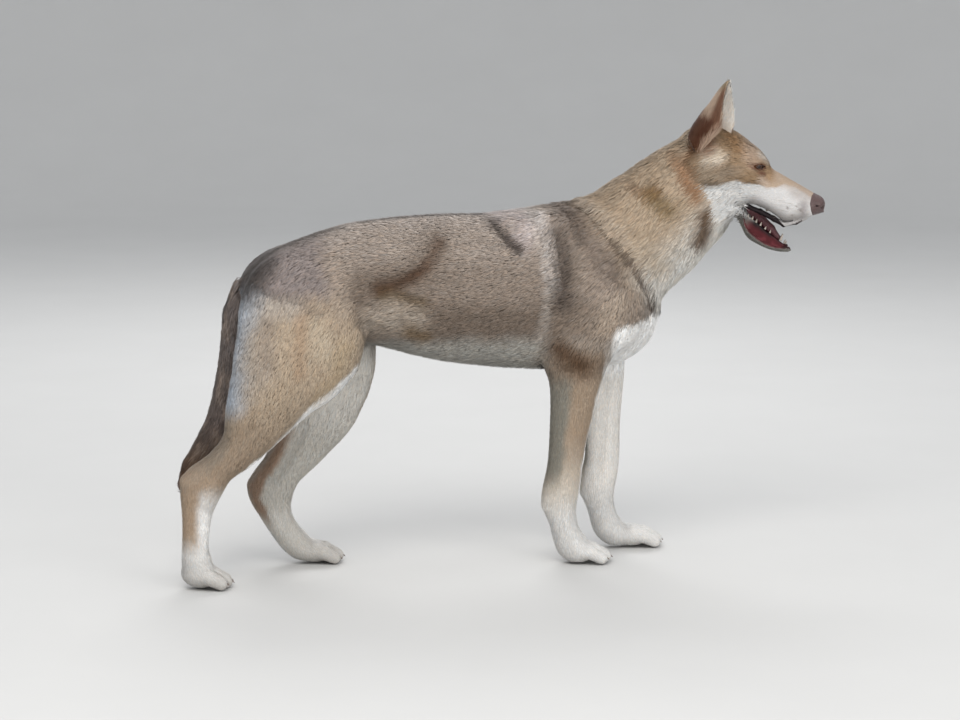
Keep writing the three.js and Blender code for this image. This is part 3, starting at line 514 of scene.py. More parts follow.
def skin_form(P):
    m = measure(P)
    share = shares(m)
    skin = whole(m) + mix(share, INSET) + share["head"] * head_depth(P) - relief(P)
    return -blend(6, -skin, jaw_notch(P))


# ---------- tail: a core under the brush ----------
BRUSH = [
    [-396, 0, 556, 30, 30], [-436, 0, 526, 30, 30], [-456, 0, 476, 29, 29], [-461, 0, 410, 30, 31],
    [-470, 0, 340, 33, 34], [-484, 0, 284, 33, 34], [-510, 0, 238, 30, 30], [-538, 0, 202, 24, 25],
    [-554, 0, 172, 15, 17],
]
CORE_SHARE = [0.62] + [0.64] * (len(BRUSH) - 1)  # how much of the brush's radius the core has
TAIL_CORE = strand(3, [[x, y, z, r * s, w * s] for (x, y, z, r, w), s in zip(BRUSH, CORE_SHARE)])


def unit(V):
    return V / np.maximum(np.linalg.norm(V, axis=1), 1e-9)[:, None]


def brush_place(P):
    """How far down the tail a point lies, from 0 to 1, which way the tail runs and the brush's radius."""
    rows = np.array(BRUSH, float)
    least, place = np.full(len(P), 1e9), np.zeros(len(P))
    for i, (a, b) in enumerate(zip(rows[:-1, :3], rows[1:, :3])):
        d = b - a
        t = np.clip((P - a) @ d / (d @ d), 0, 1)
        gap = np.linalg.norm(P - a - t[:, None] * d, axis=1)
        place = np.where(gap < least, i + t, place)
        least = np.minimum(gap, least)
    read, last = columns([[i, *row] for i, row in enumerate(rows)]), len(rows) - 1
    ahead = read(np.minimum(place + 0.3, last)) - read(np.maximum(place - 0.3, 0))
    return place / last, unit(ahead[:, :3]), read(place)[:, 3]


# ---------- meshing: surface nets on a grid of uneven steps ----------
EDGES = [(a, a | bit) for bit in (1, 2, 4) for a in range(8) if not a & bit]


def steps(low, high, step):
    return np.linspace(low, high, round((high - low) / step) + 1)


def near_cells(form, grid, block, steep=2.0):
    """Marks the cells that may hold the surface, a block at a time; the form grows by `steep` at most."""
    middles, halves = [], []
    for line in grid:
        ends = np.minimum(np.arange(0, len(line) - 1, block)[:, None] + [0, block], len(line) - 1)
        middles.append(line[ends].mean(1))
        halves.append(np.ptp(line[ends], axis=1) / 2)
    at = np.stack(np.meshgrid(*middles, indexing="ij"), -1)
    size = np.linalg.norm(np.stack(np.meshgrid(*halves, indexing="ij"), -1), axis=-1)
    keep = np.abs(form(at.reshape(-1, 3))).reshape(size.shape) < size * steep
    for axis, line in enumerate(grid):
        keep = np.repeat(keep, block, axis).take(np.arange(len(line) - 1), axis)
    return keep


def corner_slices(bits, shape):
    return tuple(slice(bits >> axis & 1, shape[axis] - 1 + (bits >> axis & 1)) for axis in range(3))


def part_corners(inside):
    """Fills a corner of each grid face whose corners are in and out by turns.

    Otherwise four faces of the net would share an edge there.
    """
    for _ in range(4):
        for u, v in ((0, 1), (1, 2), (2, 0)):
            line = np.moveaxis(inside, (u, v), (0, 1))
            a, b, c, d = line[:-1, :-1], line[1:, :-1], line[1:, 1:], line[:-1, 1:]
            mixed = (a == c) & (b == d) & (a != b)
            held = mixed & a
            a |= mixed
            b |= held
    return inside


def net(form, X, Y, Z, block):
    """The closed surface where the form is zero, as points and four-sided faces."""
    grid, shape = (X, Y, Z), (len(X), len(Y), len(Z))
    cells = near_cells(form, grid, block)
    wanted = np.zeros(shape, bool)
    for bits in range(8):
        wanted[corner_slices(bits, shape)] |= cells
    value = np.full(shape, 1e3)
    index = np.argwhere(wanted)
    value[wanted] = form(np.stack([line[index[:, axis]] for axis, line in enumerate(grid)], 1))
    inside = part_corners(value < 0)
    value = np.where(inside, np.minimum(value, -1e-3), np.maximum(value, 1e-3))
    count = sum(inside[corner_slices(bits, shape)].astype(np.int8) for bits in range(8))
    active = cells & (count > 0) & (count < 8)
    where = np.argwhere(active)
    number = np.full(active.shape, -1)
    number[active] = np.arange(len(where))
    points, hits = np.zeros((len(where), 3)), np.zeros(len(where))
    for a, b in EDGES:
        ends = []
        for bits in (a, b):
            at = where + [bits & 1, bits >> 1 & 1, bits >> 2]
            ends.append((value[tuple(at.T)], np.stack([line[at[:, i]] for i, line in enumerate(grid)], 1)))
        (va, pa), (vb, pb) = ends
        crossed = (va < 0) != (vb < 0)
        t = (va[crossed] / (va[crossed] - vb[crossed]))[:, None]
        points[crossed] += pa[crossed] + (pb[crossed] - pa[crossed]) * t
        hits[crossed] += 1
    points /= hits[:, None]
    faces = []
    for axis in range(3):
        u, v = (axis + 1) % 3, (axis + 2) % 3
        step = np.eye(3, dtype=int)
        low = np.argwhere(inside != np.roll(inside, -1, axis))
        low = low[(low[:, axis] < shape[axis] - 1) & (low[:, u] > 0) & (low[:, v] > 0)]
        low = low[(low[:, u] < shape[u] - 1) & (low[:, v] < shape[v] - 1)]
        around = [low - step[u] - step[v], low - step[v], low, low - step[u]]
        quad = np.stack([number[tuple(at.T)] for at in around], 1)
        ok = (quad >= 0).all(1)
        outward = inside[tuple(low.T)]
        faces.append(np.where(outward[:, None], quad, quad[:, ::-1])[ok])
    return points, np.concatenate(faces)


def slope(form, P, reach=0.4):
    """A form's value at points, and how it grows along each axis."""
    here = form(P)
    return here, np.stack([(form(P + reach * axis) - here) / reach for axis in np.eye(3)], 1)


def settle(form, P, most=1.0):
    """Moves points that are near the form's surface onto it."""
    for _ in range(2):
        here, out = slope(form, P)
        move = -out * (here / np.maximum((out * out).sum(1), 0.1))[:, None]
        far = np.linalg.norm(move, axis=1)[:, None]
        P = P + move * np.minimum(1, most / np.maximum(far, 1e-9))
    return P


def add(data):
    """Puts an object with this data and its name into the scene."""
    thing = bpy.data.objects.new(data.name, data)
    bpy.context.scene.collection.objects.link(thing)
    return thing


def give(mesh, name, kind, values):
    """Adds an attribute that has one value for each point."""
    layer = mesh.attributes.new(name, kind, "POINT")
    field = {"FLOAT": "value", "FLOAT_VECTOR": "vector", "FLOAT_COLOR": "color"}[kind]
    layer.data.foreach_set(field, np.asarray(values).astype(np.float32).ravel())


def as_mesh(name, points, faces):
    mesh = bpy.data.meshes.new(name)
    mesh.from_pydata(placed(points).tolist(), [], faces.tolist())
    mesh.update()
    mesh.shade_smooth()
    return add(mesh)


# ---------- ears: a thin cup, rolled into a funnel at its root ----------
EAR_ROWS = [
    # height in the head's axes, along and aside of the back, depth and half width of the cup, its curl
    [-50, -152, 34, 34, 14, 122], [-24, -160, 31, 50, 22, 112], [9, -160, 28, 60, 31, 100],
    [37, -156, 36, 44, 31, 90], [60, -154.5, 43, 28, 24, 84], [80, -152.5, 50, 13, 13, 78],
    [94, -149.5, 54, 3, 2.5, 70],
]
EAR_LOOK = math.radians(24)
EAR_OUT = np.array([math.cos(EAR_LOOK), math.sin(EAR_LOOK)])
EAR_ACROSS = np.array([-math.sin(EAR_LOOK), math.cos(EAR_LOOK)])
EAR_SKIN = 1.0  # how far the skin lies inside the ear's outline
read_ear = columns(EAR_ROWS)


def ear(side, rows=44, arc=22):
    """Points and faces of one ear, a closed cup with an outer and an inner wall."""
    low, high = EAR_ROWS[0][0], EAR_ROWS[-1][0] - 2
    t = np.linspace(0, 1, rows + 1)
    along, aside, deep, half, degrees = read_ear(low + (high - low) * t).T
    points = []
    for row in range(rows + 1):
        curl, wall = math.radians(degrees[row]), 5 * (1 - 0.6 * t[row])
        wide = half[row] - EAR_SKIN * 0.6
        for inner in (0, 1):
            angle = np.linspace(-curl, curl, arc + 1) * (0.96 if inner else 1)
            angle = angle[::-1] if inner else angle
            thick = inner * max(wall - 2 * EAR_SKIN, 0.9)
            u = deep[row] * (1 - np.cos(angle)) / (1 - math.cos(curl)) + (EAR_SKIN + thick) * np.cos(angle)
            v = np.sin(angle) * np.maximum(wide - thick, 0.3)
            flat = [along[row], aside[row]] + u[:, None] * EAR_OUT + v[:, None] * EAR_ACROSS
            points.append(np.c_[flat[:, 0], flat[:, 1] * side, np.full(len(u), low + (high - low) * t[row])])
    points = np.concatenate(points)
    n = 2 * (arc + 1)
    ring = np.arange(n)
    after = (ring + 1) % n
    body = np.array([[row * n + ring, row * n + after, (row + 1) * n + after, (row + 1) * n + ring]
                     for row in range(rows)]).transpose(0, 2, 1).reshape(-1, 4)
    i = np.arange(arc)
    floor = np.c_[i, n - 1 - i, n - 2 - i, i + 1]
    faces = np.concatenate([body, floor, floor[:, ::-1] + rows * n])
    return from_head(points), faces[:, ::-1] if side > 0 else faces


# ---------- the skin: one closed surface ----------
HEAD_CUT_NORMAL = np.array([0.926, 0, 0.378]) / np.linalg.norm([0.926, 0, 0.378])
HEAD_CUT_POINT = np.array([372.0, 0, 783.0])
ANKLE = 50.0  # below this the skin is meshed more finely
LAP = 12.0  # the head's and the body's skins overlap by this much either side of the cut


def past_cut(P):
    return (P - HEAD_CUT_POINT) @ HEAD_CUT_NORMAL


def head_skin(P):
    past = past_cut(P)
    return np.maximum(skin_form(P) + ramp(-past, -LAP, LAP), -LAP - past)


def body_skin(P):
    past, low = past_cut(P), ANKLE - P[:, 2]
    skin = skin_form(P) + ramp(past, -LAP, LAP) + ramp(low, -5, 5)
    return np.maximum(np.maximum(skin, past - LAP), low - 5)


def feet_skin(P):
    high = P[:, 2] - ANKLE
    return np.maximum(np.maximum(skin_form(P) + ramp(high, -5, 5), high - 5), 0.4 - P[:, 2])


def unite(name, pieces):
    """Joins closed pieces into one closed surface."""
    first = pieces[0]
    for other in pieces[1:]:
        cut = first.modifiers.new(other.name, "BOOLEAN")
        cut.operation, cut.solver, cut.object = "UNION", "MANIFOLD", other
    held = bpy.context.evaluated_depsgraph_get()
    mesh = bpy.data.meshes.new_from_object(first.evaluated_get(held))
    for piece in pieces:
        bpy.data.objects.remove(piece)
    mesh.name = name
    mesh.materials.clear()
    mesh.polygons.foreach_set("material_index", np.zeros(len(mesh.polygons), np.int32))
    mesh.shade_smooth()
    return add(mesh)


def build_skin():
    body = net(body_skin, steps(-606, 480, 5.6), steps(-134, 134, 5.2), steps(30, 820, 5.6), 4)
    face = net(head_skin, steps(340, 672, 2.2), steps(-126, 82, 2.2), steps(560, 808, 2.2), 5)
    feet = net(feet_skin, steps(-606, 380, 2.6), steps(-134, 134, 2.6), steps(-3, 66, 2.5), 6)
    tail = net(TAIL_CORE, steps(-590, -350, 4), steps(-40, 40, 4), steps(120, 600, 5), 4)
    shells = []
    for name, (points, faces), form in (
        ("body", body, body_skin), ("face", face, head_skin), ("feet", feet, feet_skin),
        ("tail", tail, TAIL_CORE),
    ):
        shells.append(as_mesh(f"shell_{name}", settle(form, points), faces))
    shells += [as_mesh(f"shell_ear_{side}", *ear(side)) for side in SIDES]
    return unite("skin", shells)


# ---------- colours ----------
def tint(code):
    """A hex colour as linear red, green and blue."""
    c = np.array([int(code[i:i + 2], 16) for i in (1, 3, 5)]) / 255
    return np.where(c < 0.04045, c / 12.92, ((c + 0.055) / 1.055) ** 2.4)


def noise(P, size, seed=0):
    """Smooth noise from -1 to 1, in hills about `size` apart."""
    q = P / size + 19.7 * seed
    cell = np.floor(q).astype(np.int64)
    f = q - cell
    f = f * f * (3 - 2 * f)
    total = 0
    for bits in range(8):
        corner = np.array([bits & 1, bits >> 1 & 1, bits >> 2])
        key = (cell + corner) @ np.array([73856093, 19349663, 83492791]) + 1013904223 * (seed + 1)
        key = (key ^ (key >> 15)) * 668265263
        key = (key ^ (key >> 13)) & 0xFFFF
        total = total + np.prod(np.where(corner, f, 1 - f), axis=1) * (key / 32767.5 - 1)
    return total


def lay(colour, *layers):
    """A colour with others laid over it in turn, each given as a mask and a colour."""
    for mask, over in zip(layers[::2], layers[1::2]):
        mask = mask[:, None]
        colour = colour * (1 - mask) + over * mask
    return colour


def dab(P, at, size, soft=0.4):
    """An egg-shaped patch that runs out softly past its edge."""
    return 1 - ramp(np.linalg.norm((P - at) / size, axis=1), 1 - soft, 1 + soft)


COAT_TINTS = {
    "top": "#a79b92", "back": "#94887e", "flank": "#86796e", "flank_low": "#706358", "belly": "#a19e97",
    "rump": "#7f7572", "shoulder": "#928477", "neck": "#9f8d78", "nape": "#93816c", "throat": "#cdc9c2",
    "foreleg": "#9e8b77", "fore_rear": "#817d73", "thigh": "#a2917d", "shank": "#8e7d6b", "cannon": "#d5cec3",
    "paw": "#d9d7d4", "cream": "#e6e2dc", "spine": "#453c37", "white": "#efeeec",
}
COAT_TINTS = {name: tint(code) for name, code in COAT_TINTS.items()}
BODY_MARKS = [
    # colour, how strong, half width, and the points it runs through at |y|; a row with no name of its own
    # goes with the one above it
    # saddle: pale
    ("#b3a7a3", 0.9, 17, [(26, 34, 650), (60, 44, 648), (76, 64, 632), (56, 78, 606)]),
    # two darker streaks in it
    ("#736660", 0.6, 4, [(38, 36, 645), (30, 62, 628), (30, 78, 606)]),
    ("#736660", 0.5, 4, [(62, 42, 645), (52, 64, 630)]),
    # its dark rear edge
    ("#332b28", 0.95, 9, [(-14, 16, 652), (0, 48, 646), (12, 68, 630)]),
    ("#302722", 0.95, 9, [(10, 70, 630), (26, 85, 606), (44, 91, 590)]),
    # pale line behind the shoulder
    ("#b6aea8", 0.75, 12, [(92, 48, 647), (97, 72, 628), (99, 90, 585), (104, 99, 545), (106, 100, 520)]),
    ("#9c948c", 0.6, 9, [(106, 100, 520), (98, 98, 470), (94, 92, 425)]),
    # dark band over the shoulder blade
    ("#4f433c", 0.75, 23, [(156, 40, 650), (172, 74, 618), (196, 87, 585), (222, 90, 560)]),
    # dark line behind the shoulder
    ("#413731", 0.8, 19, [(122, 80, 612), (131, 93, 570), (130, 96, 535), (128, 98, 500)]),
    # shoulder: shading
    ("#918378", 0.5, 24, [(200, 88, 582), (205, 99, 520)]),
    ("#a19282", 0.6, 18, [(222, 102, 490), (205, 102, 455)]),
    # fold of the flank
    ("#675a4f", 0.7, 24, [(-100, 82, 592), (-141, 89, 547), (-175, 86, 528), (-240, 81, 520)]),
    ("#4a3424", 0.95, 11, [(-122, 88, 562), (-148, 88, 542), (-171, 86, 528), (-204, 83, 521)]),
    ("#5d4a3d", 0.8, 9, [(-92, 82, 600), (-122, 87, 564)]),
    # under the fold
    ("#54422a", 0.9, 11, [(-196, 83, 509), (-165, 86, 503), (-128, 89, 494)]),
    # pale fleece of the groin
    ("#b9ad9f", 0.6, 19, [(-140, 74, 468), (-190, 75, 480), (-222, 74, 468), (-170, 72, 460)]),
    # dark tuft below it
    ("#6b573d", 0.75, 12, [(-150, 80, 446), (-123, 75, 437)]),
    # before the hip: shading
    ("#a29384", 0.5, 18, [(-290, 80, 575), (-275, 84, 525), (-280, 86, 500)]),
    # line across the thigh
    ("#60554d", 0.5, 6, [
        (-434, 74, 531), (-413, 84, 528), (-376, 93, 516), (-344, 96, 506), (-318, 97, 491)
    ]),
    # dark rump
    ("#413b38", 0.95, 22, [(-412, 16, 592), (-424, 36, 578), (-438, 52, 556), (-444, 62, 535)]),
    # croup: shading
    ("#a0958c", 0.6, 15, [(-240, 34, 628), (-282, 40, 612)]),
    # stripe over the croup
    ("#504842", 0.8, 12, [(-396, 14, 596), (-330, 10, 618), (-270, 6, 636)]),
    # elbow
    ("#4f3a28", 0.95, 17, [(120, 98, 412), (138, 100, 398), (158, 100, 378)]),
    # rear of the thigh: pale, with painted cool sky light
    ("#a5b1bf", 0.85, 20, [(-452, 66, 512), (-474, 68, 460), (-482, 78, 407), (-486, 92, 345)]),
    # thigh: shading
    ("#a4a19e", 0.35, 16, [(-432, 76, 515), (-402, 88, 506), (-370, 96, 500)]),
    ("#989593", 0.35, 30, [(-444, 85, 490), (-448, 94, 440), (-450, 102, 395)]),
    ("#80746a", 0.45, 12, [(-414, 98, 480), (-418, 106, 400)]),
    ("#957a61", 0.5, 9, [(-352, 103, 485), (-361, 108, 430), (-362, 110, 392)]),
    ("#aea18e", 0.5, 14, [(-326, 100, 470), (-312, 100, 420)]),
    # front of the thigh
    ("#a08d71", 0.45, 14, [(-276, 92, 430), (-293, 99, 385), (-322, 104, 345)]),
    # dark rump, by the tail
    ("#443e3b", 0.95, 21, [(-404, 22, 596), (-424, 40, 578), (-442, 54, 556), (-450, 60, 538)]),
]
NECK_MARKS = [
    # pale edge of the ruff
    ("#a99b8b", 0.6, 10, [(186, 40, 668), (218, 66, 644), (254, 84, 610), (284, 84, 572)]),
    # dark line before the shoulder
    ("#42352d", 0.95, 5, [
        (163, 30, 666), (196, 63, 638), (237, 85, 602), (265, 88, 561), (293, 74, 513), (303, 64, 475)
    ]),
    # brown flecks of the nape
    ("#67482e", 0.85, 9, [(286, 60, 700), (303, 62, 690), (325, 62, 694)]),
    ("#6e5836", 0.8, 17, [(316, 76, 684), (338, 80, 662)]),
    # brown line behind the cheek
    ("#7a4f2b", 0.75, 11, [(366, 70, 752), (368, 72, 730), (378, 74, 708), (392, 76, 686)]),
    # dark edge of the throat
    ("#513b26", 0.95, 13, [(410, 74, 646), (408, 71, 628), (400, 68, 606)]),
    # side of the ruff: shading
    ("#a79885", 0.6, 18, [(288, 86, 592), (322, 74, 560)]),
]


def limb_place(P, rows):
    """Where a point lies across a limb: -1 at its rear edge to 1 at its front."""
    rows = np.array(sorted(rows, key=lambda row: row[2]), float)
    x, r = (np.interp(P[:, 2], rows[:, 2], rows[:, c]) for c in (0, 3))
    return (P[:, 0] - x) / r


def fore_and_hind(P):
    """The place across the nearest foreleg and the nearest hind leg."""
    right = P[:, 1] < 0
    fore = [limb_place(P, foreleg_rows(side)) for side in SIDES]
    hind = [limb_place(P, sum(HIND_ROWS[side], [])) for side in SIDES]
    return np.where(right, *fore), np.where(right, *hind)


def leg_colours(P, N, wavy):
    """The colours of the legs' parts, by height and by the place from rear to front."""
    t, z = COAT_TINTS, wavy[:, 2]
    fore, hind = fore_and_hind(wavy)
    inner = ramp(-N[:, 1] * np.sign(P[:, 1]), 0.1, 0.7)
    foreleg = lay(
        t["foreleg"], ramp(-z, -260, -80), t["cannon"],
        ramp(-fore, 0.1, 0.55) * ramp(z, 130, 190), t["fore_rear"],
        ramp(z, 335, 385), tint("#6e5a48"),  # the elbow
        ramp(fore, 0.8, 1.05), t["white"],
        inner * ramp(-z, -430, -380), t["cream"],
        ramp(-z, -150, -85), t["paw"])
    thigh = lay(t["thigh"], ramp(z, 505, 540), t["rump"],
                ramp(hind, 1.3, 1.55) * ramp(-z, -430, -400), t["white"])
    shank = lay(t["shank"], ramp(hind, 1.15, 1.4), t["white"],
                ramp(-hind, 0.75, 1.0) * 0.6, tint("#857c70"))
    cannon = lay(tint("#ab957f"), ramp(hind, -0.5, 0.3) * ramp(-z, -205, -165), t["white"],
                 ramp(-z, -110, -60), t["paw"])
    inside = inner * ramp(-z, -450, -400)
    rear = ramp(-hind, 0.45, 0.8) * ramp(-z, -300, -240) * ramp(z, 70, 110)
    shade = lay(tint("#c6c2bb"), ramp(-z, -300, -220) * ramp(z, 90, 130), tint("#b8b4ac"))
    within = inside, shade, inside * rear, tint("#8e7765")
    thigh, shank, cannon = (lay(outer, *within) for outer in (thigh, shank, cannon))
    sole = ramp(-N[:, 2], 0.75, 0.95) * ramp(-P[:, 2], -9, -4)
    # the darker colour in the gaps between the toes is painted shade
    paw = lay(t["paw"], sole, tint("#342622"), 0.7 * toe_gaps(P), tint("#786e67"),
              # painted shade: the hind paws darker
              0.5 * ramp(-P[:, 0], 100, 140), tint("#9c958c"))
    return {"foreleg": foreleg, "thigh": thigh, "shank": shank, "cannon": cannon, "paw": paw}, inner


def body_colour(P, N, share):
    """The coat's colour and how grizzled it is, on all but the head, ears and tail."""
    wavy = P + np.stack([5 * noise(P, 34, i) + 2.5 * noise(P, 10, i + 30) for i in (1, 2, 3)], 1)
    Q, t = fold_sides(wavy), COAT_TINTS
    x, _, z = Q.T
    trunk = lay(
        t["flank_low"], ramp(z, 470, 515), t["flank"],
        ramp(z, 535, 600), t["back"],
        ramp(z, 605, 640), t["top"],
        ramp(-x, 250, 330) * ramp(z, 500, 530) * 0.8, t["rump"],
        ramp(-z, -448, -405), t["belly"],
        0.85 * (1 - ramp(np.abs(P[:, 1]), 7, 18)) * ramp(N[:, 2], 0.4, 0.9), t["spine"])
    under = ramp(N @ np.array([0.62, 0, -0.78]), -0.1, 0.6)
    neck = lay(t["neck"], ramp(N[:, 2], 0.25, 0.8), t["nape"], under, t["throat"])
    tints, inner = leg_colours(P, N, wavy)
    shoulder = lay(trunk, 0.6 + 0.4 * ramp(-z, -470, -430), t["shoulder"],
                   ramp(-z, -425, -385), tint("#7d6752"))
    tints = {**tints, "trunk": trunk, "neck": neck, "shoulder": shoulder, "head": neck}
    colour = sum(share[kind][:, None] * tints[kind] for kind in KINDS)
    for code, strong, wide, line in BODY_MARKS:
        colour = lay(colour, strong * mark(Q, line, wide) * (1 - 0.8 * inner), tint(code))
    for code, strong, wide, line in NECK_MARKS:
        colour = lay(colour, strong * mark(Q, line, wide), tint(code))
    edge = x - 222 - 6 * noise(P, 26, 35)
    chest = ramp(edge, -7, 9) * ramp(446 + 0.3 * edge - z, -6, 10) * ramp(z, 330, 356)
    colour = lay(colour, chest * (x < 400), t["white"])
    grizzle = mix(share, {
        "trunk": 1, "neck": 0.7, "shoulder": 0.9, "foreleg": 0.25, "thigh": 0.55, "shank": 0.3,
        "cannon": 0.15, "paw": 0.05, "head": 0.4,
    }) * (1 - chest) * (1 - 0.6 * inner)
    return colour, grizzle


HEAD_TINTS = {
    "crown": "#846d54", "white": "#cbcac8", "muzzle": "#d0cecd", "tan": "#b39e8a", "throat": "#c9c5bd",
    # mouth: the lips' own black, and painted shadow inside the mouth
    "rim": "#5b3527", "mouth": "#12070a", "lining": "#4c191e", "flesh": "#703339", "lip": "#2a1717",
}
HEAD_TINTS = {name: tint(code) for name, code in HEAD_TINTS.items()}
HEAD_MARKS = [
    # colour, how strong, half width, and the points it runs through: along, aside, up
    # over the eye: shading
    ("#ab9685", 0.6, 13, [(-44, 26, 13), (-30, 38, -4)]),
    # brown of the temple
    ("#7b5a38", 0.6, 9, [(-84, 30, 12), (-62, 38, 2)]),
    # pale patch before the ear
    ("#d6c8b6", 0.95, 10, [(-84, 60, -26), (-99, 61, -33)]),
    ("#ad9684", 0.8, 8, [(-112, 58, -8), (-103, 60, -16)]),
    # brown edge of it
    ("#77513a", 0.7, 8, [(-104, 62, -24), (-114, 60, -18)]),
    # dark root of the ear
    ("#512f1a", 0.95, 15, [(-146, 62, -2), (-134, 66, -28), (-120, 64, -8)]),
    # cheek: shading
    ("#7b7164", 0.6, 16, [(-93, 67, -46), (-86, 70, -60), (-70, 66, -52)]),
    # dark line on the cheek
    ("#4c4238", 0.9, 6, [(-80, 72, -71), (-62, 67, -63)]),
    # cheek: shading
    ("#867767", 0.6, 11, [(-58, 62, -44), (-46, 58, -38)]),
    # dark rear edge of the cheek
    ("#57361b", 0.95, 14, [(-140, 74, -60), (-131, 74, -70), (-116, 74, -78)]),
    # before the eye
    ("#987c5f", 0.85, 7, [(3, 20, -10), (10, 26, -20), (9, 30, -25)]),
    # the eye's inner corner
    ("#694736", 0.9, 4, [(-2, 31, -17), (-8, 33, -19)]),
    # pale mark under the eye
    ("#beab9b", 0.7, 5, [(-2, 34, -29), (12, 32, -31)]),
    # bridge of the muzzle: shading
    ("#ad9986", 0.7, 9, [(26, 18, -13), (46, 14, -8)]),
    # pale brow
    ("#c0bbb4", 0.5, 5, [(-22, 26, 9), (-6, 16, 6)]),
    # bridge of the muzzle: shading
    ("#a39892", 0.6, 10, [(64, 18, -18), (86, 16, -14)]),
    # behind the nostril
    ("#7b7170", 0.6, 7, [(88, 23, -32), (96, 20, -44)]),
    # edge of the upper lip: painted shade along the lower side of the muzzle
    ("#8c8785", 0.75, 9, [(8, 32, -73), (30, 29, -73), (56, 27, -73), (76, 25, -72), (94, 18, -56)]),
]
# The white of the cheek and muzzle ends above at one line and behind at another.
WHITE_TOP = [  # along, up
    (-98, -78), (-77, -72), (-56, -60), (-38, -49), (-16, -43), (8, -36), (25, -29), (37, -15), (57, -11),
]
WHITE_REAR = [  # up, along
    (-166, 6), (-152, 2), (-139, -17), (-113, -47), (-84, -72), (-62, -132), (0, -150), (40, -150),
]


def white_rear(h):
    return np.interp(h, *np.array(WHITE_REAR, float).T)


def head_colour(P):
    H = to_head(P)
    W = fold_sides(H) + np.stack([2 * noise(P, 14, i) for i in (4, 5, 6)], 1)
    t, (a, _, h) = HEAD_TINTS, W.T
    snout = ramp(a, -4, 16)
    top = np.interp(a, *np.array(WHITE_TOP, float).T)
    white = ramp(top - h, -2, 4) * ramp(a - white_rear(h), -6, 6)
    colour = lay(
        t["crown"], snout, t["tan"],
        white, lay(t["white"], snout, t["muzzle"]),
        ramp(-h, 112, 134) * (1 - snout), t["throat"],
        # painted shade: the white outside of the lower jaw is greyed
        ramp(-h, 95, 110) * ramp(a, -26, -2), tint("#77746e"))  # the outside of the jaw
    for code, strong, wide, line in HEAD_MARKS:
        colour = lay(colour, strong * mark(W, line, wide, 0.5), tint(code))
    speck = ramp(noise(P, 4, 9), 0.5, 0.62) * dab(W, (74, 26, -50), (20, 20, 16))
    u, v, out = slit_place(fold_sides(H))
    lids = (1 - ramp(np.hypot(u / 14.5, v / 6.2), 0.8, 1.3)) * (out > 0)
    colour = lay(colour, 0.55 * speck, tint("#5b4c44"), lids, t["rim"])
    wet = mouth_mask(H)
    return colour, 0.4 * (1 - snout) * (1 - wet) * (1 - 0.7 * white), wet


# The upper lip's lower edge: along, up.
UPPER_EDGE = [
    (-12, -96), (-3, -89), (3, -84), (16, -80), (31, -77), (47, -78), (61, -81), (79, -86), (92, -70),
    (104, -52),
]


def mouth_mask(H):
    """1 inside the mouth, over the turned-out lower lip and on the upper lip's edge."""
    W = fold_sides(H)
    inside = 1 - ramp(join(1, [PALATE, TROUGH])(W), 2.4, 4.0)
    edge = np.interp(W[:, 0], *np.array(UPPER_EDGE, float).T)
    upper = ramp(edge + 3.5 - W[:, 2], -1.5, 0.5) * (W[:, 2] > -96) * (W[:, 0] < 100)
    low = (1 - ramp(lip_shelf(W), 1.2, 3.0)) * (W[:, 2] < -90)
    return np.maximum.reduce([inside, upper, low]) * (W[:, 0] > -12)


def mouth_colour(P):
    """Black under the upper lip, the lip's own and painted shadow; reddish on the inside of the lower one."""
    H = fold_sides(to_head(P))
    t = HEAD_TINTS
    low = np.interp(H[:, 0], [-4, 24, 54, 80, 100], [-104, -108, -112, -113, -110]) + 2.5 * noise(P, 9, 31)
    edge = strand(4, LOWER_LIP_ROWS)(H)
    return lay(
        # black: the lips' own, and painted shadow inside the mouth
        t["mouth"], ramp(low - H[:, 2], -5, 5), t["lining"],
        # paler pink patches: painted highlights on the wet lining
        ramp(low - H[:, 2], 4, 9) * ramp(noise(P, 8, 32), 0.0, 0.5) * 0.7, t["flesh"],
        ramp(H[:, 0], 88, 99) * 0.85, t["lip"],
        (1 - ramp(edge, 0.3, 1.2)) * 0.45, t["lip"])


def ear_place(P):
    """Height up the ear, depth in its cup, and place from its middle edge, -1, to its outer edge, 1."""
    H = to_head(P)
    h = H[:, 2]
    along, aside, deep, half, _ = read_ear(h).T
    flat = np.c_[H[:, 0] - along, np.abs(H[:, 1]) - aside]
    u, v = flat @ EAR_OUT, flat @ EAR_ACROSS
    return h, u / np.maximum(deep, 1), v / np.maximum(half, 1)


def ear_inner(P, N):
    """1 on the wall that faces into the cup."""
    h, u, v = ear_place(P)
    M, side = N @ HEAD, np.sign(to_head(P)[:, 1])
    out = np.c_[M[:, 0], M[:, 1] * side]
    deep, half, curl = read_ear(h).T[2:]
    middle = 1 / (1 - np.cos(np.radians(curl)))
    inward = (middle - u) * deep * (out @ EAR_OUT) - v * half * (out @ EAR_ACROSS)
    return ramp(inward / np.maximum(half, 2), -0.15, 0.15)


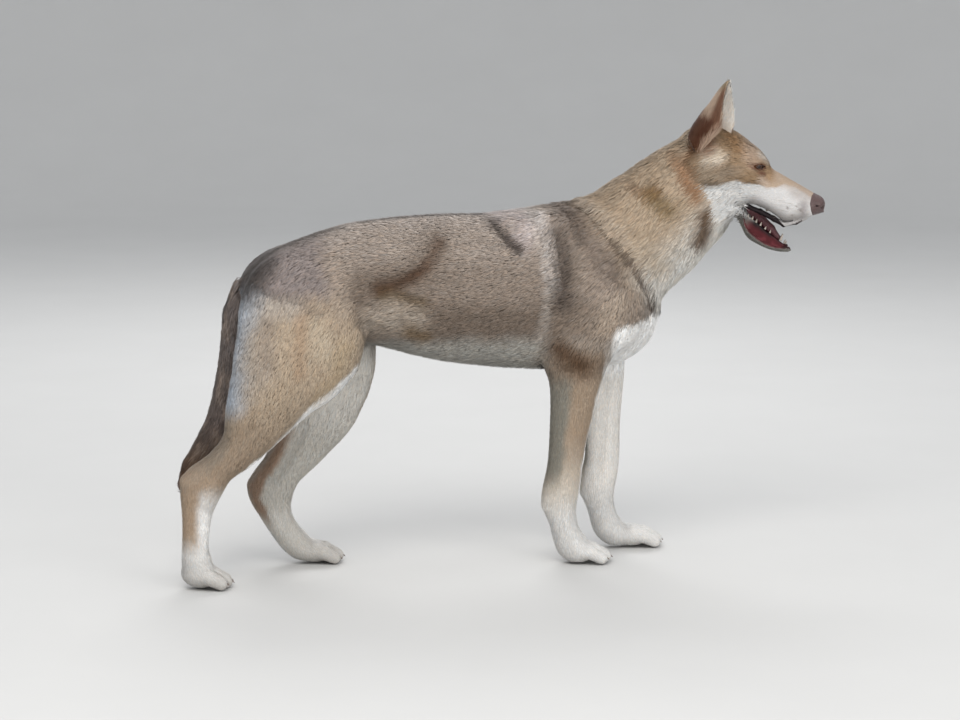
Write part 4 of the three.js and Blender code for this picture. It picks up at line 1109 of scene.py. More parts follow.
def ear_colour(P, N):
    h, u, v = ear_place(P)
    v, h = v + 0.08 * noise(P, 12, 33), h + 4 * noise(P, 14, 34)
    inner = ear_inner(P, N)
    stripe = ramp(u, 0.38, 0.68) * (1 - 0.5 * ramp(u, 0.93, 1.0)) * ramp(-h, -90, -60)
    return lay(
        tint("#a58f7c"), ramp(h, 52, 84) * 0.7, tint("#6c5f42"),  # the back, and its tip
        0.9 * stripe, tint("#5a3826"),
        0.95 * ramp(-h, -30, 2) * (1 - ramp(u, 0.72, 0.94)), tint("#43220e"),  # the root, behind and in front
        0.8 * ramp(-h, -16, 4) * ramp(u, 0.78, 0.96), tint("#b49b87"),
        inner, tint("#ddd6cd"),  # the cup, its root and its depth
        inner * ramp(-h, -34, 8), tint("#ac9885"),
        # painted shade deep in the cup
        inner * ramp(u, 0.2, -0.1), tint("#957c6c"),
        0.5 * ramp(u, 0.9, 1.0) * (1 - inner) * ramp(h, 14, 40), tint("#c0ad98"))  # the rim


TAIL_TINTS = ["#7a6f68", "#675e5a", "#5f5754", "#5e5550", "#5e534e", "#56483e", "#523b28", "#5d3821"]


def tail_colour(P):
    place, _, _ = brush_place(P)
    tints = np.array([tint(code) for code in TAIL_TINTS])
    at = place * (len(tints) - 1)
    colour = np.stack([np.interp(at, range(len(tints)), tints[:, i]) for i in range(3)], 1)
    streaky = noise(P * [1, 1, 0.3], 8, 8)
    return lay(colour, 0.45 * ramp(streaky, 0.1, 0.6), tint("#8a7a6d"),
               0.5 * ramp(-streaky, 0.1, 0.6), tint("#39302b"))


DOG, TAIL, EAR = 0, 1, 2
TOUCH = 2.5  # a point of the skin that is nearer to a form than this lies on it


def regions(P):
    """Which of dog, tail and ears each point of the skin is on."""
    off_body, on_tail, H = np.abs(skin_form(P)) > TOUCH, np.abs(TAIL_CORE(P)) < TOUCH, to_head(P)
    by_ears = (H[:, 2] > -62) & (H[:, 0] < -80)
    return np.where(off_body & on_tail, TAIL, np.where(off_body & by_ears, EAR, DOG))


def markings(P, N):
    """Colour, grizzle and wetness of the coat and skin, at points of the skin."""
    m = measure(P)
    share = shares(m)
    colour, grizzle = body_colour(P, N, share)
    on_head, head_grizzle, wet = head_colour(P)
    a, _, h = to_head(P).T
    face = ramp(a - white_rear(h), -9, 7) * ramp(h, -186, -160)
    wet = wet * (share["head"] > 0.6)
    colour = lay(colour, face, on_head, wet, mouth_colour(P))
    grizzle = grizzle * (1 - face) + head_grizzle * face
    where = regions(P)
    colour = np.where((where == TAIL)[:, None], tail_colour(P), colour)
    colour = np.where((where == EAR)[:, None], ear_colour(P, N), colour)
    grizzle = np.where(where == TAIL, 0.9, np.where(where == EAR, 0.2, grizzle))
    wet = np.where(where == DOG, wet, 0)
    mottle = 0.06 * noise(P, 38, 11) + 0.05 * noise(P, 11, 12) + 0.05 * noise(P, 5, 13)
    mottle = 1 + mottle * (0.3 + 0.7 * grizzle)
    return colour * mottle[:, None], grizzle, wet, where, share


# ---------- the coat: solid tapered tufts that lie along the body and overlap ----------
TUFTS = {  # length and half width of a tuft, and tufts on a square centimetre
    "trunk": (20, 1.0, 17.7), "neck": (34, 1.35, 11.4), "shoulder": (18, 0.95, 19), "foreleg": (11, 0.7, 18),
    "thigh": (20, 1.0, 18), "shank": (13, 0.8, 18), "cannon": (9, 0.7, 19), "paw": (6, 0.55, 18),
    "head": (11, 0.6, 28), "tail": (36, 1.2, 20), "ear": (8, 0.55, 22),
}
LIES = {
    "trunk": (-1, 0, -0.28), "neck": (-0.72, 0, -0.69), "shoulder": (-0.45, 0, -1), "foreleg": (-0.12, 0, -1),
    "thigh": (-0.5, 0, -1), "shank": (-0.3, 0, -1), "cannon": (0.05, 0, -1), "paw": (0.75, 0, -0.66),
    "head": (0, 0, 0),
}


def head_lie(H):
    """Backwards from the nose, and down over the cheeks."""
    cheek = ramp(-H[:, 0], 20, 80) * ramp(-H[:, 2], -10, 60)
    return np.c_[-np.ones(len(H)), 0.25 * np.sign(H[:, 1]), -0.1 - 0.75 * cheek]


def lie_of(P, N, share, where):
    """Which way the coat lies, along the skin."""
    lie = mix(share, LIES).T
    chest = ramp(P[:, 0], 200, 290)[:, None] * (share["trunk"] + share["shoulder"])[:, None]
    under = ramp(N @ np.array([0.62, 0, -0.78]), 0.2, 0.8)[:, None] * share["neck"][:, None]
    lie = lie + (chest + under) * np.array([0.4, 0, -0.8])
    H = to_head(P)
    lie = lie + share["head"][:, None] * (head_lie(H) @ HEAD.T)
    _, along_tail, _ = brush_place(P)
    lie = np.where((where == TAIL)[:, None], along_tail, lie)
    lie = np.where((where == EAR)[:, None], HEAD @ np.array([-0.15, 0, 1]), lie)
    calm = 0.25 + 0.75 * (share["trunk"] + share["neck"] + share["thigh"])
    swirl = calm * (0.24 * noise(P, 70, 21) + 0.1 * noise(P, 17, 22))
    lie = unit(lie - N * (lie * N).sum(1)[:, None])
    aside = np.cross(N, lie)
    return lie * np.cos(swirl)[:, None] + aside * np.sin(swirl)[:, None]


EAR_RUFF = ((-112, 54, -10), (36, 30, 30))  # where the coat is longer in front of the ear: middle and reach


def tuft_sizes(P, share, where):
    """Length, half width and density of the tufts."""
    size = mix(share, TUFTS)
    H = to_head(P)
    snout, cheek = ramp(H[:, 0], -20, 25), ramp(-H[:, 0], 30, 80) * ramp(-H[:, 2], 10, 70)
    by_ear = dab(fold_sides(H), *EAR_RUFF)
    on_head = share["head"]
    size = size * np.stack([
        1 + on_head * (0.8 * cheek - 0.6 * snout + 0.7 * by_ear),
        1 + on_head * (0.4 * cheek - 0.3 * snout),
        1 + on_head * (0.5 * snout - 0.35 * cheek),
    ])
    h, _, v = ear_place(P)
    base = ramp(-h, -44, 6)
    fringe = ramp(np.abs(v), 0.7, 0.95)
    ear = np.stack([1 + 1.4 * base + 0.6 * fringe, 1 + 0.4 * base, 1 - 0.2 * base])
    ear = np.array(TUFTS["ear"])[:, None] * ear
    place, _, _ = brush_place(P)
    ends = 1 - 0.5 * ramp(place, 0.72, 1) - 0.4 * ramp(-place, -0.14, 0)
    tail = np.array(TUFTS["tail"])[:, None] * np.stack([ends, ends, 1 + 0.5 * ramp(place, 0.72, 1)])
    return np.where(where == TAIL, tail, np.where(where == EAR, ear, size))


def coat_depth(P, share, where):
    """How far the tufts' tips stand off the skin."""
    by_ear = dab(fold_sides(to_head(P)), *EAR_RUFF)
    deep = mix(share, DEPTH) + share["head"] * (head_depth(P) + 2 * by_ear)
    place, _, radius = brush_place(P)
    brush = radius * (0.36 - 0.14 * ramp(-place, -0.14, 0))
    return np.where(where == TAIL, brush, np.where(where == EAR, EAR_SKIN, deep))


def nose_edge(H):
    """Negative over the nose's leather, which reaches further back above than below."""
    a, _, h = H.T
    return np.maximum(np.interp(h, [-42, -32, -23, -10, 4], [114, 102, 95, 91, 93]) - a, -42 - h)


def bare(P, N, share, wet, where):
    """Where no coat grows: mouth, nose leather, eyes and pads."""
    W = fold_sides(to_head(P))
    nose = (1 - ramp(nose_edge(W), -1, 1)) * (W[:, 0] < 140)
    u, v, out = slit_place(W)
    eye = (1 - ramp(np.hypot(u / 13.5, v / 5.8), 0.85, 1.1)) * (np.abs(out - 13) < 12)  # the lids' edge
    pad = ramp(-P[:, 2], -9, -5) * ramp(-N[:, 2], 0.5, 0.9)  # low down, and facing down
    return np.where(where == DOG, np.maximum.reduce([wet, nose * (share["head"] > 0.5), eye, pad]), 0)


def skin_arrays(piece):
    """The skin's points and normals, in the dog's millimetres, and its triangles."""
    mesh = piece.data
    mesh.calc_loop_triangles()
    P, N = (np.zeros(len(mesh.vertices) * 3, np.float32) for _ in range(2))
    tri = np.zeros(len(mesh.loop_triangles) * 3, np.int32)
    mesh.vertices.foreach_get("co", P)
    mesh.vertices.foreach_get("normal", N)
    mesh.loop_triangles.foreach_get("vertices", tri)
    return P.reshape(-1, 3).astype(float) * MM - SHIFT, N.reshape(-1, 3).astype(float), tri.reshape(-1, 3)


def scatter(P, N, tri, density, rng):
    """Roots spread evenly over the skin, closer where the density is higher."""
    a, b, c = (P[tri[:, i]] for i in range(3))
    area = np.linalg.norm(np.cross(b - a, c - a), axis=1) / 200  # square centimetres
    total = np.cumsum(area * density[tri].mean(1))
    count = int(total[-1])
    pick = np.searchsorted(total, (np.arange(count) + rng.random(count)) / count * total[-1])
    u, v = rng.random((2, count))
    u, v = np.where(u + v > 1, 1 - u, u), np.where(u + v > 1, 1 - v, v)
    weight = np.stack([1 - u - v, u, v], 1)[:, :, None]
    spot = tri[np.minimum(pick, len(tri) - 1)]
    return (P[spot] * weight).sum(1), unit((N[spot] * weight).sum(1))


def skin_height(P, where):
    """How far points stand off the skin, near the body or the tail."""
    return np.where(where == TAIL, TAIL_CORE(P), skin_form(P))


def rest_on(P, N, height, steep, where, turns=2):
    """Moves points along N, where the height grows by `steep`, until they stand `height` off the skin."""
    free, most = where == EAR, 9
    for _ in range(turns):
        move = np.clip((height - skin_height(P, where)) / steep, -most, most)
        P = P + N * np.where(free, 0, move)[:, None]
    return P


# Stations of a tuft: how far along, how high in the coat, how wide; the root is sunk and the tip a point.
SHORT, LONG = [(0.35, 0.55, 1.0)], [(0.28, 0.5, 1.0), (0.66, 0.8, 0.72)]


def tuft_faces(rings):
    """Triangles of one tuft: root, rings of three points each, tip; they face outwards."""
    faces = [(0, 1 + (i + 1) % 3, 1 + i) for i in range(3)]
    for ring in range(rings - 1):
        a = 1 + 3 * ring
        for i in range(3):
            j = (i + 1) % 3
            faces += [(a + i, a + j, a + 3 + j), (a + i, a + 3 + j, a + 3 + i)]
    last = 1 + 3 * (rings - 1)
    return np.array(faces + [(last + i, last + (i + 1) % 3, last + 3) for i in range(3)])


def tuft_normals(N, lie, aside, stations):
    """Normals that follow the body more than the tuft, so that the coat shades as one."""
    rows = [N - 0.1 * lie]
    for _ in stations:
        rows += [N + 0.35 * aside, N + 0.05 * lie, N - 0.35 * aside]
    return np.stack([unit(row) for row in rows + [N + 0.15 * lie]], 1)


def build_tufts(P, N, lie, long, half, deep, where, stations, rng):
    """All tufts' points as (tufts, points, 3)."""
    n = len(P)
    aside = np.cross(N, lie)
    rise = rng.uniform(0.85, 1.1, n)
    steep = np.clip(skin_height(P + N, where) - skin_height(P, where), 0.5, 4)
    points = [P - N * np.minimum(0.35 * deep + 0.5, 2.0)[:, None]]
    for share, height, wide in stations:
        here = rest_on(P + lie * (share * long)[:, None], N, height * deep * rise, steep, where)
        here = here + N * np.where(where == EAR, 0.8 * height, 0)[:, None]
        w = (half * wide)[:, None]
        points += [here + aside * w, here + N * w * 0.35, here - aside * w]
    sway = rng.normal(0, 0.07, n)
    tip = P + (lie + aside * sway[:, None]) * long[:, None]
    tip = rest_on(tip, N, deep * rng.uniform(0.55, 0.98, n), steep, where)
    return np.stack(points + [tip + N * np.where(where == EAR, 0.5, 0)[:, None]], 1)


def tuft_colours(colour, grizzle, stations, rng):
    """Darker at the root, as painted shade among the hairs; banded where the coat is grizzled, and dark at
    some of the tips.
    """
    n = len(colour)
    bright = rng.normal(1, 0.04 + 0.075 * grizzle, n)
    dark = grizzle * (rng.random(n) < 0.34)
    warm = 1 + rng.normal(0, 0.025, n)[:, None] * [1, 0, -1]
    # painted shade at the roots
    shades = [0.92 + 0 * bright]
    for share, _, _ in stations:
        shades += [bright * (1 + 0.1 * grizzle * (share < 0.5))] * 3
    shades.append(bright * (1.05 - 0.48 * dark))
    return (colour * warm)[:, None, :] * np.clip(np.stack(shades, 1), 0.2, 1.6)[:, :, None]


# The map of the skin: each part is unrolled round its own axis, in cells of one square of four by four.
CELLS = {  # left edge, lower edge, width and height
    "trunk": (0, 0, 2, 1.5), "neck": (2, 0, 1, 1), "head": (3, 0, 1, 1.5), "fore_right": (0, 1.5, 1, 1.25),
    "fore_left": (1, 1.5, 1, 1.25), "hind_right": (0, 2.75, 1, 1.25), "hind_left": (1, 2.75, 1, 1.25),
    "tail": (2, 1, 1, 1), "ear_right": (2, 2, 1, 1), "ear_left": (3, 2, 1, 1),
}


MAP_CELLS = 4  # to a side of the map


def turn_share(up, aside):
    """How far round an axis a point lies, from 0 to 1."""
    return np.arctan2(aside, up) / (2 * math.pi) + 0.5


def unwrap(P, share, where):
    """Where points of the skin lie on the map."""
    x, y, z = P.T
    kind = np.array(KINDS)[strongest(share)]
    H = to_head(P)
    limb = np.isin(kind, ("shoulder", "foreleg", "thigh", "shank", "cannon", "paw"))
    front, side = x > -100, np.where(y < 0, "right", "left")
    middle = np.zeros(len(P))
    for s in SIDES:
        for rows, mask in ((foreleg_rows(s), front), (sum(HIND_ROWS[s], []), ~front)):
            line = np.array(sorted(rows, key=lambda row: row[2]), float)
            middle = np.where(mask & (y * s > 0), np.interp(z, line[:, 2], line[:, 0]), middle)
    down_tail, _, _ = brush_place(P)
    brush = np.array(BRUSH[::-1], float)
    h, u, v = ear_place(P)
    spots = {
        "trunk": (turn_share(z - 510, y), (x + 475) / 820),
        "neck": (turn_share(z - 560 - 0.5 * (x - 150), y), ((x - 150) * 0.89 + (z - 560) * 0.45 + 60) / 450),
        "head": (turn_share(H[:, 2] + 50, H[:, 1]), (H[:, 0] + 190) / 320),
        "limb": (turn_share(x - middle, np.abs(y) - 64), z / 660),
        "tail": (turn_share(x - np.interp(z, brush[:, 2], brush[:, 0]), y), down_tail),
        "ear": (0.5 + 0.22 * v + 0.2 * (u > 0.5), (h + 70) / 175),
    }
    place = np.where(where == TAIL, "tail", np.where(where == EAR, "ear", np.where(limb, "limb", kind)))
    cell = np.where(place == "ear", np.char.add("ear_", side), place)
    cell = np.where(place == "limb", np.char.add(np.where(front, "fore_", "hind_"), side), cell)
    uv = np.zeros((len(P), 2))
    for name, (cx, cy, wide, tall) in CELLS.items():
        here = cell == name
        spot = spots.get(name.split("_")[0], spots["limb"])
        flat = np.stack([spot[0], spot[1]], 1)[here].clip(0.02, 0.98)
        uv[here] = ([cx, cy] + flat * [wide, tall]) / MAP_CELLS
    return uv


PATCH = 0.0015  # half the size of one tuft's patch on the map
COAT_PIECES = {
    "trunk": "body", "neck": "ruff", "shoulder": "shoulders", "thigh": "haunches", "foreleg": "legs",
    "shank": "legs", "cannon": "legs", "paw": "feet", "head": "head",
}
MOST_TRIANGLES = 190000


def coat_mesh(name, points, normals, colours, uv, stations):
    """One piece of coat as a mesh with its colours and its map."""
    n, each = points.shape[:2]
    one = tuft_faces(len(stations))
    faces = (one[None] + (np.arange(n) * each)[:, None, None]).reshape(-1, 3)
    piece = as_mesh(name, points.reshape(-1, 3), faces)
    give(piece.data, "coat", "FLOAT_COLOR", np.c_[colours.reshape(-1, 3), np.ones(n * each)])
    spread = [(0, -1)]
    for share, _, wide in stations:
        spread += [(wide, 2 * share - 1), (0, 2 * share - 1), (-wide, 2 * share - 1)]
    spread = np.array(spread + [(0, 1)]) * PATCH
    at = (uv[:, None] + spread[None]).reshape(-1, 2)
    at = at[faces.ravel()].astype(np.float32).ravel()
    piece.data.uv_layers.new(name="OFBake").data.foreach_set("uv", at)
    piece.data.normals_split_custom_set_from_vertices(normals.reshape(-1, 3).astype(np.float32))
    return piece


def build_coat(skin, material):
    """Grows the whole coat on the skin and paints the skin with the same markings."""
    rng = np.random.default_rng(5)
    P, N, tri = skin_arrays(skin)
    colour, grizzle, wet, where, share = markings(P, N)
    # painted shade beneath the hairs: the skin is a tenth darker, except where it is wet
    under = colour * np.where(wet > 0.3, 1, 0.9)[:, None]
    give(skin.data, "coat", "FLOAT_COLOR", np.c_[under, np.ones(len(P))])
    give(skin.data, "wet", "FLOAT", wet)
    density = tuft_sizes(P, share, where)[2] * (1 - bare(P, N, share, wet, where))
    P, N = scatter(P, N, tri, density, rng)
    colour, grizzle, wet, where, share = markings(P, N)
    keep = bare(P, N, share, wet, where) < 0.5
    P, N, colour, grizzle, where = (v[keep] for v in (P, N, colour, grizzle, where))
    share = {kind: value[keep] for kind, value in share.items()}
    long, half, _ = tuft_sizes(P, share, where)
    deep = coat_depth(P, share, where)
    lie = lie_of(P, N, share, where)
    clump = 0.5 + 0.5 * noise(P, 7, 24)
    long = long * (0.85 + 0.25 * clump) * rng.uniform(0.8, 1.15, len(P))
    half = half * rng.uniform(0.7, 1.2, len(P))
    deep = deep * (0.85 + 0.2 * clump)
    uv = unwrap(P, share, where)
    group = np.array([COAT_PIECES[k] for k in KINDS])[strongest(share)]
    group = np.where(where == TAIL, "tail", np.where(where == EAR, "ears", group))
    pieces = []
    for name in dict.fromkeys([*COAT_PIECES.values(), "tail", "ears"]):
        mine = np.flatnonzero(group == name)
        stations = LONG if name in ("ruff", "tail") else SHORT
        parts = math.ceil(len(mine) * len(tuft_faces(len(stations))) / MOST_TRIANGLES)
        mine = mine[np.argsort(P[mine, 0])]
        for i, part in enumerate(np.array_split(mine, max(parts, 1))):
            v = [a[part] for a in (P, N, lie, long, half, deep, where)]
            points = build_tufts(*v, stations, rng)
            shades = tuft_colours(colour[part], grizzle[part], stations, rng)
            label = f"coat_{name}" + (f"_{i + 1}" if parts > 1 else "")
            normals = tuft_normals(N[part], lie[part], np.cross(N[part], lie[part]), stations)
            piece = coat_mesh(label, points, normals, shades, uv[part], stations)
            piece.data.materials.append(material)
            pieces.append(piece)
    return pieces


# ---------- materials ----------
def new_group(name, inputs, outputs):
    group = bpy.data.node_groups.new(name, "ShaderNodeTree")
    for kind, sockets in (("INPUT", inputs), ("OUTPUT", outputs)):
        for label, socket_type in sockets:
            group.interface.new_socket(label, in_out=kind, socket_type=socket_type)
    return group, group.nodes.new("NodeGroupInput"), group.nodes.new("NodeGroupOutput")


def fill(tree, node, inputs):
    """Sets a node's inputs, by name or by place: links those that are given a socket. Returns the node."""
    for key, value in inputs.items():
        if isinstance(value, bpy.types.NodeSocket):
            tree.links.new(value, node.inputs[key])
        elif isinstance(value, (tuple, np.ndarray)):
            node.inputs[key].default_value = (*value[:3], 1)
        else:
            node.inputs[key].default_value = value
    return node


def noise_node(tree, vector, scale, detail=3.0, rough=0.6):
    node = tree.nodes.new("ShaderNodeTexNoise")
    return fill(tree, node, {"Vector": vector, "Scale": scale, "Detail": detail, "Roughness": rough})


def math_node(tree, kind, *values):
    node = tree.nodes.new("ShaderNodeMath")
    node.operation = kind
    return fill(tree, node, dict(enumerate(values))).outputs[0]


def mix_colour(tree, factor, a, b, kind="MIX"):
    node = tree.nodes.new("ShaderNodeMix")
    node.data_type, node.blend_type = "RGBA", kind
    return fill(tree, node, {0: factor, 6: a, 7: b}).outputs[2]


def hair_grain_group():
    """Fine streaks and speckle of hair: varies a colour and gives a height."""
    group, given, out = new_group(
        "hair_grain",
        [("Colour", "NodeSocketColor"), ("Scale", "NodeSocketFloat"), ("Contrast", "NodeSocketFloat")],
        [("Colour", "NodeSocketColor"), ("Height", "NodeSocketFloat")],
    )
    place = group.nodes.new("ShaderNodeTexCoord").outputs["Object"]
    stretch = group.nodes.new("ShaderNodeMapping")
    stretch.inputs["Scale"].default_value = (0.35, 1.0, 0.55)
    fill(group, stretch, {"Vector": place})
    fine = noise_node(group, stretch.outputs[0], given.outputs["Scale"])
    coarse = noise_node(group, place, 60, 2)
    both = math_node(group, "ADD", math_node(group, "MULTIPLY", fine.outputs[0], 0.7),
                     math_node(group, "MULTIPLY", coarse.outputs[0], 0.3))
    swing = math_node(group, "MULTIPLY", math_node(group, "SUBTRACT", both, 0.5), given.outputs["Contrast"])
    level = math_node(group, "ADD", swing, 1.0)
    value = group.nodes.new("ShaderNodeCombineColor")
    for socket in value.inputs:
        group.links.new(level, socket)
    varied = mix_colour(group, 1.0, given.outputs["Colour"], value.outputs[0], "MULTIPLY")
    fill(group, out, {"Colour": varied, "Height": both})
    return group


def skin_grain_group():
    """The cobbled grain of bare leather or horn."""
    group, given, out = new_group(
        "leather_grain",
        [("Colour", "NodeSocketColor"), ("Scale", "NodeSocketFloat"), ("Depth", "NodeSocketFloat")],
        [("Colour", "NodeSocketColor"), ("Height", "NodeSocketFloat"), ("Roughness", "NodeSocketFloat")],
    )
    place = group.nodes.new("ShaderNodeTexCoord").outputs["Object"]
    cells = group.nodes.new("ShaderNodeTexVoronoi")
    cells.feature = "DISTANCE_TO_EDGE"
    fill(group, cells, {"Vector": place, "Scale": given.outputs["Scale"]})
    blotch = noise_node(group, place, 180)
    bumps = math_node(group, "MINIMUM", math_node(group, "MULTIPLY", cells.outputs["Distance"], 6.0), 1.0)
    height = math_node(group, "ADD", bumps, blotch.outputs[0])
    height = math_node(group, "MULTIPLY", height, given.outputs["Depth"])
    dark = mix_colour(group, math_node(group, "MULTIPLY", bumps, 0.5), (0.45, 0.42, 0.42), (1, 1, 1))
    varied = mix_colour(group, 1.0, given.outputs["Colour"], dark, "MULTIPLY")
    rough = math_node(group, "ADD", math_node(group, "MULTIPLY", blotch.outputs[0], 0.3), 0.22)
    fill(group, out, {"Colour": varied, "Height": height, "Roughness": rough})
    return group


HAIR_GRAIN, LEATHER_GRAIN = hair_grain_group(), skin_grain_group()


def new_material(name, **values):
    material = bpy.data.materials.new(name)
    material.use_nodes = True
    tree = material.node_tree
    shader = fill(tree, tree.nodes["Principled BSDF"], {k.replace("_", " "): v for k, v in values.items()})
    return material, tree, shader


def place_group(tree, group, **values):
    node = tree.nodes.new("ShaderNodeGroup")
    node.node_tree = group
    return fill(tree, node, values)


def bump(tree, shader, height, strength, distance):
    node = tree.nodes.new("ShaderNodeBump")
    fill(tree, node, {"Height": height, "Strength": strength, "Distance": distance})
    fill(tree, shader, {"Normal": node.outputs[0]})


def attribute(tree, name, output="Color"):
    node = tree.nodes.new("ShaderNodeAttribute")
    node.attribute_name = name
    return node.outputs[output]


def fur_material():
    material, tree, shader = new_material(
        "fur", Roughness=0.72, Specular_IOR_Level=0.28, Sheen_Weight=0.12, Sheen_Roughness=0.4)
    grain = place_group(tree, HAIR_GRAIN, Colour=attribute(tree, "coat"), Scale=500.0, Contrast=0.35)
    fill(tree, shader, {"Base Color": grain.outputs["Colour"]})
    return material


def hide_material():
    """The skin under the coat: short flat fur, and wet where the mouth is."""
    material, tree, shader = new_material("hide", Specular_IOR_Level=0.16)
    grain = place_group(tree, HAIR_GRAIN, Colour=attribute(tree, "coat"), Scale=420.0, Contrast=0.5)
    wet = attribute(tree, "wet", "Fac")
    rough = math_node(tree, "SUBTRACT", 0.8, math_node(tree, "MULTIPLY", wet, 0.35))
    fill(tree, shader, {"Base Color": grain.outputs["Colour"], "Roughness": rough})
    bump(tree, shader, grain.outputs["Height"], 0.5, 0.0015)
    return material


def leather_material(name, colour, scale, depth):
    material, tree, shader = new_material(name, Specular_IOR_Level=0.5, Coat_Weight=0.15, Coat_Roughness=0.25)
    grain = place_group(tree, LEATHER_GRAIN, Colour=tint(colour), Scale=scale, Depth=depth)
    fill(tree, shader, {"Base Color": grain.outputs["Colour"], "Roughness": grain.outputs["Roughness"]})
    bump(tree, shader, grain.outputs["Height"], 0.6, 0.0006)
    return material


def horn_material(name, colour, tip):
    """Claws and teeth: streaked, and blotched with a second colour, paler or darker."""
    material, tree, shader = new_material(name, Specular_IOR_Level=0.5, Coat_Weight=0.2)
    place = tree.nodes.new("ShaderNodeTexCoord").outputs["Object"]
    streaks = noise_node(tree, place, 320)
    blotch = noise_node(tree, place, 90)
    colour = mix_colour(tree, blotch.outputs[0], tint(colour), tint(tip))
    rough = math_node(tree, "ADD", math_node(tree, "MULTIPLY", streaks.outputs[0], 0.3), 0.2)
    fill(tree, shader, {"Base Color": colour, "Roughness": rough})
    bump(tree, shader, streaks.outputs[0], 0.25, 0.0004)
    return material


IRIS, PUPIL = 0.74, 0.27  # angles from the middle of the gaze, radians


def eye_material():
    material, tree, shader = new_material(
        "eye", Roughness=0.2, Coat_Weight=0.15, Coat_Roughness=0.05, Specular_IOR_Level=0.3)
    at = attribute(tree, "eye_at", "Vector")
    length, ray = (tree.nodes.new("ShaderNodeVectorMath") for _ in range(2))
    for node, kind in ((length, "LENGTH"), (ray, "NORMALIZE")):
        node.operation = kind
        tree.links.new(at, node.inputs[0])
    rings = tree.nodes.new("ShaderNodeValToRGB")
    stops = [
        (0, "#070505"), (PUPIL, "#0a0605"), (PUPIL + 0.04, "#4a2a14"), (0.55, "#5f3a1c"),
        (IRIS - 0.08, "#40240f"), (IRIS, "#1d120c"), (IRIS + 0.1, "#54443a"),
    ]
    while len(rings.color_ramp.elements) < len(stops):
        rings.color_ramp.elements.new(0.5)
    for element, (where, code) in zip(rings.color_ramp.elements, stops):
        element.position, element.color = where, (*tint(code), 1)
    tree.links.new(length.outputs["Value"], rings.inputs[0])
    spokes = noise_node(tree, ray.outputs[0], 9)
    spoke = math_node(tree, "MULTIPLY", spokes.outputs[0], 0.8)
    fill(tree, shader, {"Base Color": mix_colour(tree, spoke, rings.outputs[0], (0.03, 0.016, 0.008))})
    return material


# ---------- eyes, nose, mouth ----------
def head_box(middle, reach):
    middle = from_head(np.array(middle, float))
    return [(middle[i] - reach, middle[i] + reach) for i in range(3)]


def net_near(name, form, middle, reach, step):
    axes = [steps(low, high, step) for low, high in head_box(middle, reach)]
    points, faces = net(form, *axes, 6)
    return as_mesh(name, settle(form, points, 0.3), faces)


def ring_faces(rings, around, closed=False):
    """The quads between rings of points; if closed, the last ring joins the first."""
    i, j = np.meshgrid(np.arange(rings if closed else rings - 1), np.arange(around), indexing="ij")

    def at(ring, place):
        return ring % rings * around + place % around
    return np.stack([at(i, j), at(i + 1, j), at(i + 1, j + 1), at(i, j + 1)], -1).reshape(-1, 4)


def eyeball(side, rings=36, around=48):
    """A ball that looks along the gaze, with the cornea's bulge; the lids' slit shows only its front."""
    turn = np.array([1, side, 1])
    across = np.cross(GAZE, [0, 0, 1]) / np.linalg.norm(np.cross(GAZE, [0, 0, 1]))
    frame_axes = np.array([GAZE, across, np.cross(across, GAZE)]) * turn
    angle = np.linspace(0, math.pi, rings + 1)[1:-1]
    about = np.linspace(0, 2 * math.pi, around, endpoint=False)
    a, b = (v.ravel() for v in np.meshgrid(angle, about, indexing="ij"))
    a, b = np.r_[0, a, math.pi], np.r_[0, b, 0]
    cornea = 0.9 * np.clip(np.cos(a / IRIS * math.pi / 2), 0, 1) * (a < IRIS)
    radius = EYE_BALL - 0.3 + cornea
    unit_points = np.stack([np.cos(a), np.sin(a) * np.cos(b), np.sin(a) * np.sin(b)], 1) @ frame_axes
    points = from_head(EYE_AT * turn + unit_points * radius[:, None])
    quads = 1 + ring_faces(len(angle), around)
    j, last = np.arange(around), 1 + (len(angle) - 1) * around
    caps = np.concatenate([np.stack([0 * j, 1 + j, 1 + (j + 1) % around], 1),
                           np.stack([0 * j + len(a) - 1, last + (j + 1) % around, last + j], 1)])
    mesh = bpy.data.meshes.new("eyeball_" + HANDS[side])
    mesh.from_pydata(placed(points).tolist(), [], quads.tolist() + caps.tolist())
    piece = add(mesh)
    face_out(piece)
    give(mesh, "eye_at", "FLOAT_VECTOR", np.c_[a * np.cos(b), a * np.sin(b), 0 * a])
    return piece


def face_out(piece):
    shape = bmesh.new()
    shape.from_mesh(piece.data)
    bmesh.ops.recalc_face_normals(shape, faces=shape.faces)
    shape.to_mesh(piece.data)
    shape.free()
    piece.data.shade_smooth()


def tube(name, line, radius, facets=10):
    """A round closed tube along a loop of points in the dog's millimetres."""
    line = np.asarray(line, float)
    ahead = unit(np.roll(line, -1, 0) - np.roll(line, 1, 0))
    up = unit(np.cross(ahead, [0.3, 0.2, 1.0]))
    aside = np.cross(ahead, up)
    turn = np.linspace(0, 2 * math.pi, facets, endpoint=False)
    radius = np.broadcast_to(radius, len(line))[:, None, None]
    out = np.cos(turn)[:, None] * up[:, None] + np.sin(turn)[:, None] * aside[:, None]
    points = line[:, None] + radius * out
    piece = as_mesh(name, points.reshape(-1, 3), ring_faces(len(line), facets, closed=True))
    face_out(piece)
    return piece


def lid_rim(side):
    """The dark bare edge of the lids, round the slit."""
    count, lid_radius = 33, 13.3
    half, tall = SLIT
    radius = slit_radius()
    u = np.r_[np.linspace(-half, half, count), np.linspace(half, -half, count)[1:-1]]
    v = np.sqrt(radius ** 2 - u ** 2) - (radius - tall)
    v = np.where(np.arange(len(u)) < count, v, -v)
    u = u + SLIT_FORWARD
    out = np.sqrt(np.maximum(lid_radius ** 2 - u * u - v * v, 4))
    line = EYE_AT + u[:, None] * SLIT_ALONG + v[:, None] * SLIT_UP + out[:, None] * GAZE
    return tube("lid_rim_" + HANDS[side], from_head(line * [1, side, 1]), 1.0)


